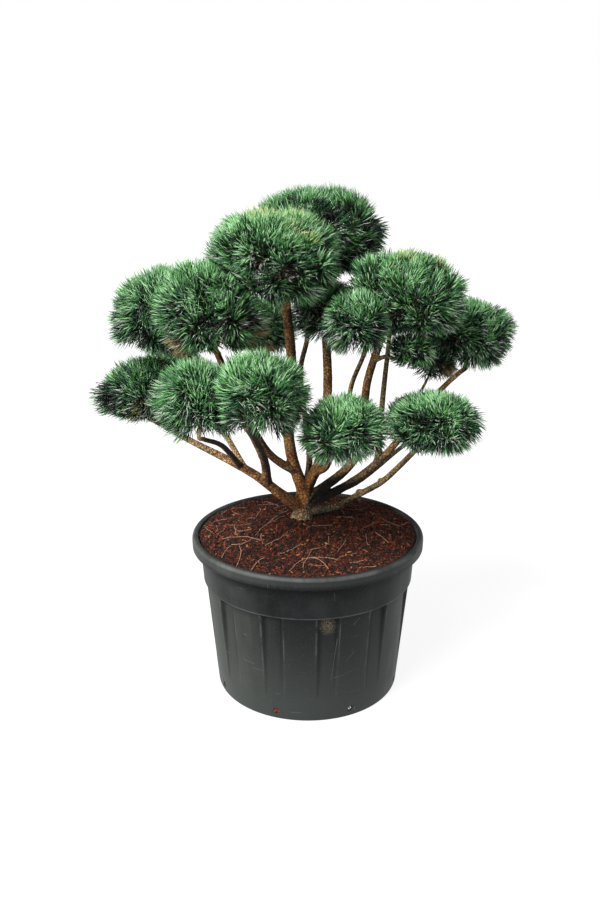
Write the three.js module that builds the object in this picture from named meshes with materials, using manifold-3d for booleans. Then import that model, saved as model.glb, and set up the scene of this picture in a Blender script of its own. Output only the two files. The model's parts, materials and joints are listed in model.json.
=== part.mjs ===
// A Scots pine trained as a many-stemmed bush of clipped cushions, in a round nursery pot.
// Millimetres, +Z up. The origin is the centre of the pot's flat underside, and -Y faces the viewer.
import * as THREE from "three";
import { mergeVertices } from "three/addons/utils/BufferGeometryUtils.js";
import Module from "manifold-3d";

const wasm = await Module();
wasm.setup();

// Driving dimensions of the pot
const RIM_RADIUS = 300;
const RIM_TOP = 418;
const RIM_HEIGHT = 30;
const RIM_WIDTH = 16;
const RIM_BEVEL = 6;
const RIM_SIDE = 22;
const LEDGE = 3;
const BAND_TOP_RADIUS = 279;
const BAND_FOOT_RADIUS = 273;
const BAND_FOOT = 300;
const BODY_TOP_RADIUS = 267;
const BODY_TOP = 290;
const BASE_RADIUS = 240;
const BASE_THICKNESS = 10;
const FOOT_BEVEL = 5;
const FOOT_HEIGHT = 6;
const WALL = 13;
const FLUTES = 12;
const FLUTE_DEPTH = 8;
const FLUTE_FADE = 70;
const FLUTE_TURN = THREE.MathUtils.degToRad(16.5);
// Where one flute's flat rib starts, is half way and ends, and where the hollow beside it lies, in degrees
const RIB_ANGLES = [0, 9, 18];
const HOLLOW_ANGLES = [19.2, 28.8];
const DRAIN_HOLES = 8;
const DRAIN_RADIUS = 8;
const DRAIN_HEIGHT = 24;
const DRAIN_TURN = THREE.MathUtils.degToRad(19);
const DRAIN_SIDES = 6;

// Driving dimensions of the growing mix
const GAP = 0.3;
const MIX_EDGE = 412;
const MIX_TOP = 440;
const MIX_SEAT_RADIUS = 62;
const MIX_WALL_GAP = 2.5;
const MIX_SIDES = 36;
const MIX_LUMP = 7;
const LEVEL = 1;
// The heap's slope: shares of its radius, and how high it lies there over its edge
const MIX_SLOPE = [[0.72, 9], [0.45, 19]];

// Driving dimensions of the wood
const TRUNK_X = -15;
const TRUNK_Y = 26;
const TRUNK_ROUTE = [[0, 0, 0], [3, 3, 36], [10, 8, 84]];
const TRUNK_RADIUS = 24;
const TRUNK_TIP_RADIUS = 22;
const ROOT_FLARE = 8;
const FLARE_FADE = 9;
const TRUNK_SIDES = 9;
const GROUND = [200, 200, 40];
const LIMB_SIDES = 7;
const LIMB_STEP = 58;
const LEAST_STEPS = 3;
const SAMPLES_PER_STEP = 4;
const TAPER_POWER = 1.2;
const COLLAR = 0.28;
const COLLAR_LENGTH = 26;

// Driving dimensions of the foliage's twigs
const STEM_BEND = 0.22;
const STEM_REACH = 0.5;
const STEM_FORK = 0.42;
const STEM_TAPER = 0.3;
const STEM_SIDES = 5;
const STEM_STEPS = 2;
const TWIG_RADIUS = 2.1;
const TWIG_TAPER = 0.8;
const TWIG_FORK = 0.45;
const TWIG_SWAY = 0.12;
const TWIG_SINK = 0.12;
// How thick a twig may be at its foot and at its tip, as shares of its stem
const TWIG_LIMITS = [0.7, 0.6];

// Driving dimensions of the foliage's sprays and cores
const NEEDLE = 30;
const MOST_OF_REACH = 0.5;
const SPRAY_FOOT = 6;
const SPRAY_CROWN = 2.2;
const SPLAY = [0.4, 0.9];
const SPRAY_ROOT = 20;
const SPRAY_CELL = 14200;
const FLANK_WEIGHT = 0.42;
const SPRAY_LIFT = 0.35;
const SPRAY_TRIES = 5;
const SPRAY_STAND = 0.9;
const SPRAY_DRAW = 0.1;
const SPRAY_SHRINK = 0.08;
const LEAST_SPRAYS = 7;
const LOWEST_SPRAY = -0.62;
const BELLY = 2.8;
const CORE_DEPTH = 16;
const CORE_UNDERSIDE = 0.7;
const CORE_UNDERSIDE_FADE = 1.5;
const CORE_LEAST = 0.5;
const CORE_GAP = 0.03;
const CORE_ROUGHNESS = 0.04;
const FINENESS = 0.05;
const REACH_LIMIT = 1.001;
const SHARE_STEP = 0.03;
const LEAST_SHARE = 0.1;
const NEIGHBOUR_GAP = 0.035;
const LIMB_CLEARANCE = 2;
const GOLDEN_ANGLE = Math.PI * (3 - Math.sqrt(5));
const SEED = 20417;

// Each bough leaves its parent part of the way along it, passes its bends and ends at its tip, tapering
const BOUGHS = [
  { name: "bough_top_front", from: "trunk", share: 0.8, radii: [15.5, 11.5],
    route: [[-38, 36, 593], [-50, 29, 680], [-41, 5, 860], [-52, -30, 996]] },
  { name: "bough_top_rear", from: "trunk", share: 0.84, radii: [14, 10],
    route: [[38, 46, 612], [51, 68, 774], [47, 92, 895], [33, 152, 1052]] },
  { name: "bough_left", from: "trunk", share: 0.3, radii: [15, 6.5],
    route: [[-74, 6, 518], [-135, 0, 569], [-212, 14, 609], [-300, 40, 647], [-396, 76, 690]] },
  { name: "bough_right", from: "trunk", share: 0.55, radii: [13, 9.5],
    route: [[53, 50, 526], [99, 55, 564], [134, 54, 620], [149, 28, 804], [174, -4, 910]] },
  { name: "bough_far_right", from: "trunk", share: 0.36, radii: [13, 6.5],
    route: [[118, 70, 525], [208, 96, 594], [300, 122, 706], [368, 134, 778], [402, 138, 808]] },
  { name: "bough_low_right", from: "trunk", share: 0.18, radii: [9.5, 7],
    route: [[78, 41, 468], [128, 29, 502], [187, 4, 546], [228, -28, 599], [256, -62, 645]] },
  { name: "bough_rear_centre", from: "trunk", share: 0.75, radii: [9, 6.5],
    route: [[5, 74, 590], [-19, 90, 818], [-3, 112, 892]] },
  { name: "bough_rear_low_right", from: "trunk", share: 0.4, radii: [10, 6],
    route: [[75, 80, 494], [138, 130, 506], [262, 240, 566]] },
  { name: "bough_low_front", from: "bough_left", share: 0.27, radii: [11.5, 8],
    route: [[-108, -34, 612], [-128, -100, 690], [-140, -196, 748]] },
  { name: "bough_low_left", from: "bough_left", share: 0.45, radii: [8, 5.5],
    route: [[-209, -90, 674], [-244, -192, 722]] },
  { name: "bough_rear_left", from: "bough_left", share: 0.42, radii: [8, 5.5],
    route: [[-228, 130, 646], [-334, 258, 682]] },
  { name: "bough_left_inner", from: "bough_top_front", share: 0.13, radii: [10.5, 8],
    route: [[-69, 20, 594], [-104, 4, 632], [-176, -48, 790], [-216, -74, 898]] },
  { name: "bough_left_outer", from: "bough_left_inner", share: 0.62, radii: [7.5, 5.5],
    route: [[-246, -22, 850], [-326, 26, 880]] },
  { name: "bough_rear_top", from: "bough_top_front", share: 0.36, radii: [7.5, 5.5],
    route: [[-76, 110, 762], [-100, 206, 816]] },
  { name: "bough_low_centre", from: "bough_top_rear", share: 0.1, radii: [9, 6.5],
    route: [[44, -20, 594], [54, -84, 640], [68, -160, 688]] },
  { name: "bough_right_inner", from: "bough_right", share: 0.36, radii: [7.5, 5.5],
    route: [[104, 0, 780], [132, -78, 898]] },
  { name: "bough_right_under", from: "bough_right", share: 0.9, radii: [5.5, 4.5],
    route: [[190, -16, 880], [204, -30, 880]] },
  { name: "bough_rear_right", from: "bough_far_right", share: 0.42, radii: [8.5, 6.5],
    route: [[200, 140, 740], [218, 214, 860]] },
  { name: "bough_far_right_inner", from: "bough_far_right", share: 0.62, radii: [4.5, 3.8],
    route: [[288, 112, 742], [306, 104, 786]] },
];

// Each cushion of foliage: the bough that carries it, its middle, its reach sideways, forwards, up and down,
// and how square its outline is, from a blunt cone at 1.5 to an egg at 2
const CUSHIONS = [
  { name: "foliage_top_front", bough: "bough_top_front",
    middle: [-84, -40, 1117], reach: [194, 178, 134, 128], square: 2.2 },
  { name: "foliage_top_rear", bough: "bough_top_rear",
    middle: [23, 180, 1157], reach: [203, 184, 138, 120], square: 2.25 },
  { name: "foliage_left_inner", bough: "bough_left_inner",
    middle: [-220, -90, 1004], reach: [162, 148, 142, 120], square: 2.4 },
  { name: "foliage_left_outer", bough: "bough_left_outer",
    middle: [-362, 60, 968], reach: [157, 150, 148, 116], square: 1.75 },
  { name: "foliage_right", bough: "bough_right",
    middle: [228, -20, 1018], reach: [176, 162, 139, 104], square: 2.5 },
  { name: "foliage_right_inner", bough: "bough_right_inner",
    middle: [112, -116, 984], reach: [104, 98, 92, 102] },
  { name: "foliage_right_under", bough: "bough_right_under",
    middle: [245, -62, 908], reach: [80, 74, 62, 66] },
  { name: "foliage_far_right", bough: "bough_far_right",
    middle: [409, 138, 912], reach: [154, 138, 108, 112] },
  { name: "foliage_far_right_inner", bough: "bough_far_right_inner",
    middle: [328, 96, 850], reach: [84, 78, 66, 80] },
  { name: "foliage_low_left_outer", bough: "bough_left",
    middle: [-415, 80, 768], reach: [168, 148, 114, 84], square: 1.6 },
  { name: "foliage_low_left", bough: "bough_low_left",
    middle: [-244, -226, 824], reach: [132, 116, 114, 112] },
  { name: "foliage_low_front", bough: "bough_low_front",
    middle: [-110, -256, 846], reach: [138, 124, 114, 128] },
  { name: "foliage_low_centre", bough: "bough_low_centre",
    middle: [80, -228, 761], reach: [130, 116, 90, 100] },
  { name: "foliage_low_right", bough: "bough_low_right",
    middle: [304, -90, 734], reach: [142, 134, 93, 90] },
  { name: "foliage_rear_left", bough: "bough_rear_left",
    middle: [-372, 296, 770], reach: [122, 118, 94, 88] },
  { name: "foliage_rear_top", bough: "bough_rear_top",
    middle: [-123, 250, 905], reach: [130, 120, 108, 88] },
  { name: "foliage_under_top", bough: "bough_rear_centre",
    middle: [47, 104, 988], reach: [112, 95, 84, 110] },
  { name: "foliage_rear_right", bough: "bough_rear_right",
    middle: [255, 300, 946], reach: [134, 126, 120, 92] },
  { name: "foliage_rear_low_right", bough: "bough_rear_low_right",
    middle: [318, 280, 640], reach: [122, 116, 90, 74] },
];

const PLASTIC = new THREE.MeshStandardMaterial({ color: 0x34383a, roughness: 0.62, metalness: 0 });
const MIX = new THREE.MeshStandardMaterial({ color: 0x3d1d12, roughness: 1, metalness: 0 });
const BARK = new THREE.MeshStandardMaterial({ color: 0x8a5a34, roughness: 0.9, metalness: 0 });
const NEEDLES = new THREE.MeshStandardMaterial({ color: 0x2f5f3d, roughness: 0.7, metalness: 0 });

// A repeatable random number from 0 to 1
function makeRandom(seed) {
  let state = seed >>> 0;
  return () => {
    state = (state * 1664525 + 1013904223) >>> 0;
    return state / 4294967296;
  };
}

// A geometry's faces with nothing but their places
function barePositions(geometry) {
  const bare = new THREE.BufferGeometry().setAttribute("position", geometry.attributes.position);
  return bare.setIndex(geometry.index);
}

// A closed three.js geometry as a solid that can be joined and cut
function solidOf(geometry) {
  const merged = mergeVertices(barePositions(geometry), 1e-3);
  const triVerts = new Uint32Array(merged.index.array);
  const vertProperties = merged.attributes.position.array;
  return new wasm.Manifold(new wasm.Mesh({ numProp: 3, vertProperties, triVerts }));
}

// A solid as a three.js geometry with flat faces
function facesOf(solid) {
  const mesh = solid.getMesh();
  const geometry = new THREE.BufferGeometry();
  geometry.setAttribute("position", new THREE.BufferAttribute(mesh.vertProperties, 3));
  geometry.setIndex(new THREE.BufferAttribute(mesh.triVerts, 1));
  const shown = geometry.toNonIndexed();
  shown.computeVertexNormals();
  return shown;
}

// The largest piece of a solid as a geometry, without scraps that hang on by less than a mesh can hold
function geometryOf(solid) {
  return facesOf(largestOf(solidOf(facesOf(largestOf(solid)))));
}

function largestOf(solid) {
  return solid.decompose().reduce((best, piece) => (piece.volume() > best.volume() ? piece : best));
}

// A solid with a small clearance round every limb that it meets
function cutClear(solid, limbs) {
  let cut = solid;
  for (const limb of limbs.values()) {
    if (cut.intersect(limb.cleared).volume() > 0) cut = largestOf(cut.subtract(limb.cleared));
  }
  return cut;
}

function named(name, geometry, material) {
  const mesh = new THREE.Mesh(geometry, material);
  mesh.name = name;
  return mesh;
}

// The angles of the pot's columns of vertices: three on each rib and two in each hollow
function potColumns() {
  const turn = 360 / FLUTES;
  const columns = [];
  for (let flute = 0; flute < FLUTES; flute += 1) {
    for (const angle of [...RIB_ANGLES, ...HOLLOW_ANGLES]) {
      const hollow = angle > RIB_ANGLES[RIB_ANGLES.length - 1];
      columns.push({ angle: THREE.MathUtils.degToRad(flute * turn + angle) + FLUTE_TURN, hollow });
    }
  }
  return columns;
}

// A profile of radii and heights turned on a lathe about Z, each vertex drawn in by its own cut
function turned(profile, columns, cutAt) {
  const points = profile.map(([radius, height]) => new THREE.Vector2(radius, height));
  const geometry = new THREE.LatheGeometry(points, columns.length);
  const position = geometry.attributes.position;
  for (let i = 0; i < position.count; i += 1) {
    const column = columns[Math.floor(i / profile.length) % columns.length];
    const row = i % profile.length;
    const radius = profile[row][0] - cutAt(column, row);
    const angle = column.angle - Math.PI / 2;
    position.setXYZ(i, radius * Math.cos(angle), radius * Math.sin(angle), profile[row][1]);
  }
  return geometry;
}

// The radius of the pot's body at a height
function bodyRadius(height) {
  return BASE_RADIUS + ((BODY_TOP_RADIUS - BASE_RADIUS) * height) / BODY_TOP;
}

// The pot's wall, with hollows between its ribs that are deepest under the band and fade out at the foot
function potShell() {
  const rimFoot = RIM_TOP - RIM_HEIGHT;
  const mouth = RIM_RADIUS - RIM_WIDTH;
  const ribTop = [BODY_TOP_RADIUS, BODY_TOP];
  const profile = [
    [0, 0],
    [BASE_RADIUS - FOOT_BEVEL, 0],
    [bodyRadius(FOOT_HEIGHT), FOOT_HEIGHT],
    [bodyRadius(FLUTE_FADE), FLUTE_FADE],
    ribTop,
    [BAND_FOOT_RADIUS, BAND_FOOT],
    [BAND_TOP_RADIUS, rimFoot + LEDGE],
    [RIM_RADIUS - 1, rimFoot],
    [RIM_RADIUS, rimFoot + RIM_SIDE],
    [RIM_RADIUS - RIM_BEVEL, RIM_TOP],
    [mouth, RIM_TOP - 1],
    [BODY_TOP_RADIUS - WALL, BODY_TOP],
    [BASE_RADIUS - WALL, BASE_THICKNESS],
    [0, BASE_THICKNESS],
  ];
  const cutAt = (column, row) => (column.hollow && profile[row] === ribTop ? FLUTE_DEPTH : 0);
  return solidOf(turned(profile, potColumns(), cutAt));
}

function makePot() {
  const drains = [];
  for (let i = 0; i < DRAIN_HOLES; i += 1) {
    const angle = (i * 2 * Math.PI) / DRAIN_HOLES - Math.PI / 2 - DRAIN_TURN;
    const drill = new THREE.CylinderGeometry(DRAIN_RADIUS, DRAIN_RADIUS, 5 * WALL, DRAIN_SIDES);
    drill.rotateZ(Math.PI / 2).rotateZ(angle);
    drill.translate(BASE_RADIUS * Math.cos(angle), BASE_RADIUS * Math.sin(angle), DRAIN_HEIGHT);
    drains.push(solidOf(drill));
  }
  const shell = potShell().subtract(wasm.Manifold.union(drains));
  return named("pot", geometryOf(shell), PLASTIC);
}

// The growing mix: it fills the pot, heaps up a little to a flat seat under the trunk, and is lumpy between
function makeMix() {
  const wallLean = (RIM_RADIUS - RIM_WIDTH - BODY_TOP_RADIUS + WALL) / (RIM_TOP - BODY_TOP);
  const edge = BODY_TOP_RADIUS - WALL - MIX_WALL_GAP + wallLean * (MIX_EDGE - BODY_TOP);
  const profile = [
    [0, BASE_THICKNESS + GAP],
    [BASE_RADIUS - WALL - MIX_WALL_GAP, BASE_THICKNESS + GAP],
    [BODY_TOP_RADIUS - WALL - MIX_WALL_GAP, BODY_TOP],
    [edge, MIX_EDGE],
    ...MIX_SLOPE.map(([share, rise]) => [edge * share, MIX_EDGE + rise]),
    [MIX_SEAT_RADIUS, MIX_TOP],
    [0, MIX_TOP],
  ];
  const columns = Array.from({ length: MIX_SIDES }, (_, i) => ({ angle: (i * 2 * Math.PI) / MIX_SIDES }));
  return named("growing_mix", lumpy(turned(profile, columns, () => 0)), MIX);
}

// Moves the loose surface up and down a little, and its flat seat to under the trunk
function lumpy(geometry) {
  const random = makeRandom(SEED);
  const merged = mergeVertices(barePositions(geometry), 1e-3);
  const position = merged.attributes.position;
  for (let i = 0; i < position.count; i += 1) {
    const height = position.getZ(i);
    const seat = height > MIX_TOP - LEVEL;
    const loose = height > MIX_EDGE + LEVEL && !seat;
    if (loose) position.setZ(i, height + (random() - 0.5) * MIX_LUMP);
    if (seat) position.setXY(i, position.getX(i) + TRUNK_X, position.getY(i) + TRUNK_Y);
  }
  return merged;
}

// A straight cylinder bent along a curve: a tapering limb with closed, flat ends
function limbGeometry(curve, radiusAt, sides, steps, longer = 0) {
  const geometry = new THREE.CylinderGeometry(1, 1, 1, sides, steps);
  const frames = curve.computeFrenetFrames(steps, false);
  const position = geometry.attributes.position;
  const centre = new THREE.Vector3();
  for (let i = 0; i < position.count; i += 1) {
    const share = position.getY(i) + 0.5;
    const ring = Math.round(share * steps);
    const radius = radiusAt(share);
    curve.getPointAt(ring / steps, centre);
    if (ring === 0) centre.addScaledVector(curve.getTangentAt(0), -longer);
    if (ring === steps) centre.addScaledVector(curve.getTangentAt(1), longer);
    centre.addScaledVector(frames.normals[ring], position.getX(i) * radius);
    centre.addScaledVector(frames.binormals[ring], position.getZ(i) * radius);
    position.setXYZ(i, centre.x, centre.y, centre.z);
  }
  return geometry;
}

// A limb holds its curve, its radius along it, and its solids with and without a clearance
function makeLimb(curve, radiusAt, sides) {
  const length = curve.getLength();
  const steps = Math.max(LEAST_STEPS, Math.round(length / LIMB_STEP));
  const solidWith = (extra) =>
    facingOut(limbGeometry(curve, (share) => radiusAt(share) + extra, sides, steps, extra));
  const samples = [];
  for (let i = 0; i <= steps * SAMPLES_PER_STEP; i += 1) {
    const share = i / (steps * SAMPLES_PER_STEP);
    samples.push({ point: curve.getPointAt(share), radius: radiusAt(share) });
  }
  return { curve, radiusAt, samples, solid: solidWith(0), cleared: solidWith(GAP) };
}

function facingOut(geometry) {
  const solid = solidOf(geometry);
  if (solid.volume() > 0) return solid;
  const index = geometry.index.array;
  for (let i = 0; i < index.length; i += 3) [index[i], index[i + 1]] = [index[i + 1], index[i]];
  return solidOf(geometry);
}

// The trunk: a short stool with a root flare, from a flat cut on the growing mix to its fork
function makeTrunk() {
  const foot = new THREE.Vector3(TRUNK_X, TRUNK_Y, MIX_TOP + GAP);
  const bends = TRUNK_ROUTE.map((place) => new THREE.Vector3(...place).add(foot));
  const curve = new THREE.CatmullRomCurve3(bends, false, "centripetal");
  const radiusAt = (share) =>
    TRUNK_RADIUS + (TRUNK_TIP_RADIUS - TRUNK_RADIUS) * share + ROOT_FLARE * Math.exp(-share * FLARE_FADE);
  const limb = makeLimb(curve, radiusAt, TRUNK_SIDES);
  const ground = new THREE.BoxGeometry(...GROUND).translate(foot.x, foot.y, foot.z - GROUND[2] / 2);
  limb.solid = limb.solid.subtract(solidOf(ground));
  return limb;
}

// A bough's curve, from the middle of its parent through its bends to its tip
function boughCurve(bough, parent) {
  const start = parent.curve.getPointAt(bough.share);
  const points = [start, ...bough.route.map((place) => new THREE.Vector3(...place))];
  return new THREE.CatmullRomCurve3(points, false, "centripetal");
}

function makeBough(bough, limbs) {
  const [thick, thin] = bough.radii;
  const curve = boughCurve(bough, limbs.get(bough.from));
  const length = curve.getLength();
  const radiusAt = (share) => {
    const collar = thick * COLLAR * Math.exp((-share * length) / COLLAR_LENGTH);
    return thin + (thick - thin) * (1 - share) ** TAPER_POWER + collar;
  };
  const limb = makeLimb(curve, radiusAt, LIMB_SIDES);
  limb.solid = cutClear(limb.solid, limbs);
  return limb;
}

// How far a cushion reaches from its middle in one direction
function reachOf(cushion, direction) {
  const [side, front, up, low] = cushion.reach;
  const dome = cushion.square ?? 2;
  const square = direction.z > 0 ? dome : Math.max(dome, BELLY);
  const across = Math.hypot(direction.x / side, direction.y / front);
  const along = Math.abs(direction.z) / (direction.z > 0 ? up : low);
  return 1 / (across ** square + along ** square) ** (1 / square);
}

// How deep a point lies in a cushion: 0 at its middle, 1 at its reach
function depthIn(cushion, point) {
  const out = point.clone().sub(cushion.centre);
  const distance = out.length();
  return distance < 1e-6 ? 0 : distance / reachOf(cushion, out.divideScalar(distance));
}

// Whether a point is in a cushion's own space, which ends half way to its neighbours
function inSpace(cushion, point, cushions) {
  const depth = depthIn(cushion, point);
  if (depth > REACH_LIMIT) return false;
  return cushions.every((other) => other === cushion || depthIn(other, point) > depth + NEIGHBOUR_GAP);
}

// Whether a straight needle or twig stays clear of every limb
function clearOfLimbs(from, to, limbs) {
  const line = new THREE.Line3(from, to);
  const near = new THREE.Vector3();
  for (const limb of limbs.values()) {
    for (const { point, radius } of limb.samples) {
      line.closestPointToPoint(point, true, near);
      if (near.distanceTo(point) < radius + LIMB_CLEARANCE) return false;
    }
  }
  return true;
}

// The furthest share of a cushion's reach, up to the one asked for, that is still in its space
function shareInSpace(cushion, direction, share, cushions) {
  const reach = reachOf(cushion, direction);
  for (let tried = share; tried > LEAST_SHARE; tried -= SHARE_STEP) {
    const point = cushion.centre.clone().addScaledVector(direction, reach * tried);
    if (inSpace(cushion, point, cushions)) return tried;
  }
  return LEAST_SHARE;
}

// The share of a cushion's reach that its core fills in one direction: less below, where twigs show
function coreShare(cushion, direction) {
  const full = Math.max(CORE_LEAST, 1 - CORE_DEPTH / reachOf(cushion, direction));
  const under = Math.max(0, -direction.z);
  return full + (Math.min(full, CORE_UNDERSIDE) - full) * Math.min(1, under * CORE_UNDERSIDE_FADE);
}

// The dense middle of a cushion that its sprays stand out of
function coreOf(cushion, cushions, limbs, random) {
  const geometry = mergeVertices(barePositions(new THREE.IcosahedronGeometry(1, 1)), 1e-3);
  const position = geometry.attributes.position;
  const direction = new THREE.Vector3();
  for (let i = 0; i < position.count; i += 1) {
    direction.fromBufferAttribute(position, i).normalize();
    const reach = reachOf(cushion, direction);
    const share = coreShare(cushion, direction);
    const kept = shareInSpace(cushion, direction, share, cushions) - CORE_GAP;
    const rough = 1 - CORE_ROUGHNESS * random();
    const point = cushion.centre.clone().addScaledVector(direction, reach * kept * rough);
    position.setXYZ(i, point.x, point.y, point.z);
  }
  return cutClear(facingOut(geometry), limbs);
}

// A closed solid from its corners and its faces
function facetedSolid(corners, faces) {
  const geometry = new THREE.BufferGeometry().setFromPoints(corners);
  geometry.setIndex(faces);
  return facingOut(geometry);
}

// Two directions at right angles to an axis and to each other
function sidesOf(axis) {
  const side = new THREE.Vector3(0, 0, 1).cross(axis);
  if (side.lengthSq() < 0.01) side.set(1, 0, 0);
  side.normalize();
  return [side, axis.clone().cross(side)];
}

// A tapering three-sided twig from one place to another
function twigSolid(from, to, thick, thin) {
  const [side, other] = sidesOf(to.clone().sub(from).normalize());
  const corners = [];
  for (const [end, radius] of [[from, thick], [to, thin]]) {
    for (let i = 0; i < 3; i += 1) {
      const angle = (i * 2 * Math.PI) / 3;
      const corner = end.clone().addScaledVector(side, radius * Math.cos(angle));
      corners.push(corner.addScaledVector(other, radius * Math.sin(angle)));
    }
  }
  return facetedSolid(corners, [0, 2, 1, 3, 4, 5, 0, 1, 4, 0, 4, 3, 1, 2, 5, 1, 5, 4, 2, 0, 3, 2, 3, 5]);
}

// The points of one spray: a root below a three-sided foot, its crown, and a tip over each half side
function sprayPoints(hub, axis, length, spin) {
  const [side, other] = sidesOf(axis);
  const around = (angle, radius, along) =>
    hub
      .clone()
      .addScaledVector(side, radius * Math.cos(angle))
      .addScaledVector(other, radius * Math.sin(angle))
      .addScaledVector(axis, along);
  const corners = [0, 1, 2].map((i) => around(spin + (i * 2 * Math.PI) / 3, SPRAY_FOOT, 0));
  const foot = corners.flatMap((corner, i) => [corner, corner.clone().lerp(corners[(i + 1) % 3], 0.5)]);
  const tips = foot.map((_, i) => {
    const splay = SPLAY[i % SPLAY.length];
    return around(spin + ((i + 0.5) * Math.PI) / 3, length * Math.sin(splay), length * Math.cos(splay));
  });
  return { root: around(0, 0, -SPRAY_ROOT), crown: around(0, 0, SPRAY_CROWN), foot, tips };
}

// A spray of needles as one closed solid: each needle is a three-sided spike on the spray's slim core
function spraySolid({ root, crown, foot, tips }) {
  const faces = [];
  for (let i = 0; i < foot.length; i += 1) {
    const near = 2 + i;
    const next = 2 + ((i + 1) % foot.length);
    const tip = 2 + foot.length + i;
    faces.push(0, next, near, tip, near, next, 1, near, tip, 1, tip, next);
  }
  return facetedSolid([root, crown, ...foot, ...tips], faces);
}

// The directions of a cushion's sprays: a spiral from its top to its underside, even on all sides
function sprayDirections(cushion, random) {
  const [side, front, up, low] = cushion.reach;
  const area = 2 * Math.PI * (side * front + ((side + front) / 2) * (up + low) * FLANK_WEIGHT);
  const count = Math.max(LEAST_SPRAYS, Math.round(area / SPRAY_CELL));
  const start = random() * 2 * Math.PI;
  const directions = [];
  for (let i = 0; i < count; i += 1) {
    const height = 1 - ((1 - LOWEST_SPRAY) * (i + 0.5)) / count;
    const flat = Math.sqrt(1 - height * height);
    const angle = start + i * GOLDEN_ANGLE;
    directions.push(new THREE.Vector3(flat * Math.cos(angle), flat * Math.sin(angle), height));
  }
  return directions;
}

// One spray, drawn in until it is in the cushion's space and clear of the limbs, or null
function fitSpray(cushion, direction, cushions, limbs, random) {
  const spin = random() * 2 * Math.PI;
  const lift = new THREE.Vector3(0, 0, SPRAY_LIFT);
  const axis = direction.clone().add(lift).normalize();
  const reach = reachOf(cushion, direction);
  const length = Math.min(NEEDLE, reach * MOST_OF_REACH);
  for (let drawn = 0; drawn < SPRAY_TRIES; drawn += 1) {
    const stand = reach - length * (SPRAY_STAND + drawn * SPRAY_DRAW);
    const hub = cushion.centre.clone().addScaledVector(direction, stand);
    const points = sprayPoints(hub, axis, length * (1 - drawn * SPRAY_SHRINK), spin);
    const fits = points.tips.every(
      (tip) => inSpace(cushion, tip, cushions) && clearOfLimbs(hub, tip, limbs),
    );
    if (fits && inSpace(cushion, hub, cushions)) return points;
  }
  return null;
}

// Twigs that fork by halves from one stem until each group of sprays has its own
function twigsTo(from, ends, random, twigs) {
  const middle = ends.reduce((sum, end) => sum.add(end), new THREE.Vector3()).divideScalar(ends.length);
  const alone = ends.length === 1;
  const joint = from.clone().lerp(middle, alone ? 1 : TWIG_FORK);
  const sway = from.distanceTo(joint) * TWIG_SWAY;
  if (!alone) {
    const aside = new THREE.Vector3(random() - 0.5, random() - 0.5, random() - 0.5);
    joint.addScaledVector(aside, sway);
  }
  const thick = TWIG_RADIUS * Math.sqrt(ends.length + 1);
  twigs.push({ from, to: joint, thick, thin: thick * TWIG_TAPER });
  if (alone) return;
  const spread = ends.map((end) => end.clone().sub(middle));
  const widths = ["x", "y", "z"].map((axis) => spread.reduce((sum, out) => sum + out[axis] ** 2, 0));
  const axis = ["x", "y", "z"][widths.indexOf(Math.max(...widths))];
  const sorted = [...ends].sort((a, b) => a[axis] - b[axis]);
  const half = Math.ceil(sorted.length / 2);
  twigsTo(joint, sorted.slice(0, half), random, twigs);
  twigsTo(joint, sorted.slice(half), random, twigs);
}

// The stem of a cushion: it goes on from its bough's tip, a little clear of it, up to the first fork
function stemOf(cushion, limbs) {
  const { curve, radiusAt } = limbs.get(cushion.bough);
  const heading = curve.getTangentAt(1);
  const foot = curve.getPointAt(1).addScaledVector(heading, GAP);
  const along = cushion.centre.clone().sub(foot);
  const bend = foot.clone().addScaledVector(heading, along.length() * STEM_BEND);
  const top = foot.clone().lerp(cushion.centre, STEM_REACH);
  const path = new THREE.CatmullRomCurve3([foot, bend, top], false, "centripetal");
  const thick = radiusAt(1);
  const geometry = limbGeometry(path, (share) => thick * (1 - STEM_TAPER * share), STEM_SIDES, STEM_STEPS);
  return { solid: facingOut(geometry), fork: path.getPointAt(STEM_FORK), thick };
}

// Whether a twig can be seen: the ones that lie wholly in the core are left out
function standsOut(cushion, twig) {
  return [twig.from, twig.to].some((end) => {
    const direction = end.clone().sub(cushion.centre).normalize();
    return depthIn(cushion, end) > coreShare(cushion, direction) - TWIG_SINK;
  });
}

function makeCushion(cushion, cushions, limbs, number) {
  const random = makeRandom(SEED + 97 * number);
  const core = coreOf(cushion, cushions, limbs, random);
  const stem = stemOf(cushion, limbs);
  const sprays = [];
  for (const direction of sprayDirections(cushion, random)) {
    const spray = fitSpray(cushion, direction, cushions, limbs, random);
    if (spray) sprays.push(spray);
  }
  const twigs = [];
  twigsTo(stem.fork, sprays.map((spray) => spray.root), random, twigs);
  const shown = twigs.filter(
    (twig) => standsOut(cushion, twig) && clearOfLimbs(twig.from, twig.to, limbs) &&
      inSpace(cushion, twig.from, cushions),
  );
  const pieces = [core, stem.solid, ...sprays.map(spraySolid)];
  const [most, mostAtTip] = TWIG_LIMITS.map((limit) => stem.thick * limit);
  for (const { from, to, thick, thin } of shown) {
    pieces.push(twigSolid(from, to, Math.min(thick, most), Math.min(thin, mostAtTip)));
  }
  return cutClear(wasm.Manifold.union(pieces), limbs).asOriginal().simplify(FINENESS);
}

const limbs = new Map([["trunk", makeTrunk()]]);
for (const bough of BOUGHS) limbs.set(bough.name, makeBough(bough, limbs));
for (const cushion of CUSHIONS) cushion.centre = new THREE.Vector3(...cushion.middle);

const wood = new THREE.Group();
for (const [name, limb] of limbs) wood.add(named(name, geometryOf(limb.solid), BARK));

const foliage = new THREE.Group();
CUSHIONS.forEach((cushion, number) => {
  const solid = makeCushion(cushion, CUSHIONS, limbs, number);
  foliage.add(named(cushion.name, geometryOf(solid), NEEDLES));
});

const plant = new THREE.Group();
plant.add(makePot(), makeMix(), wood, foliage);

export default plant;
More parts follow.
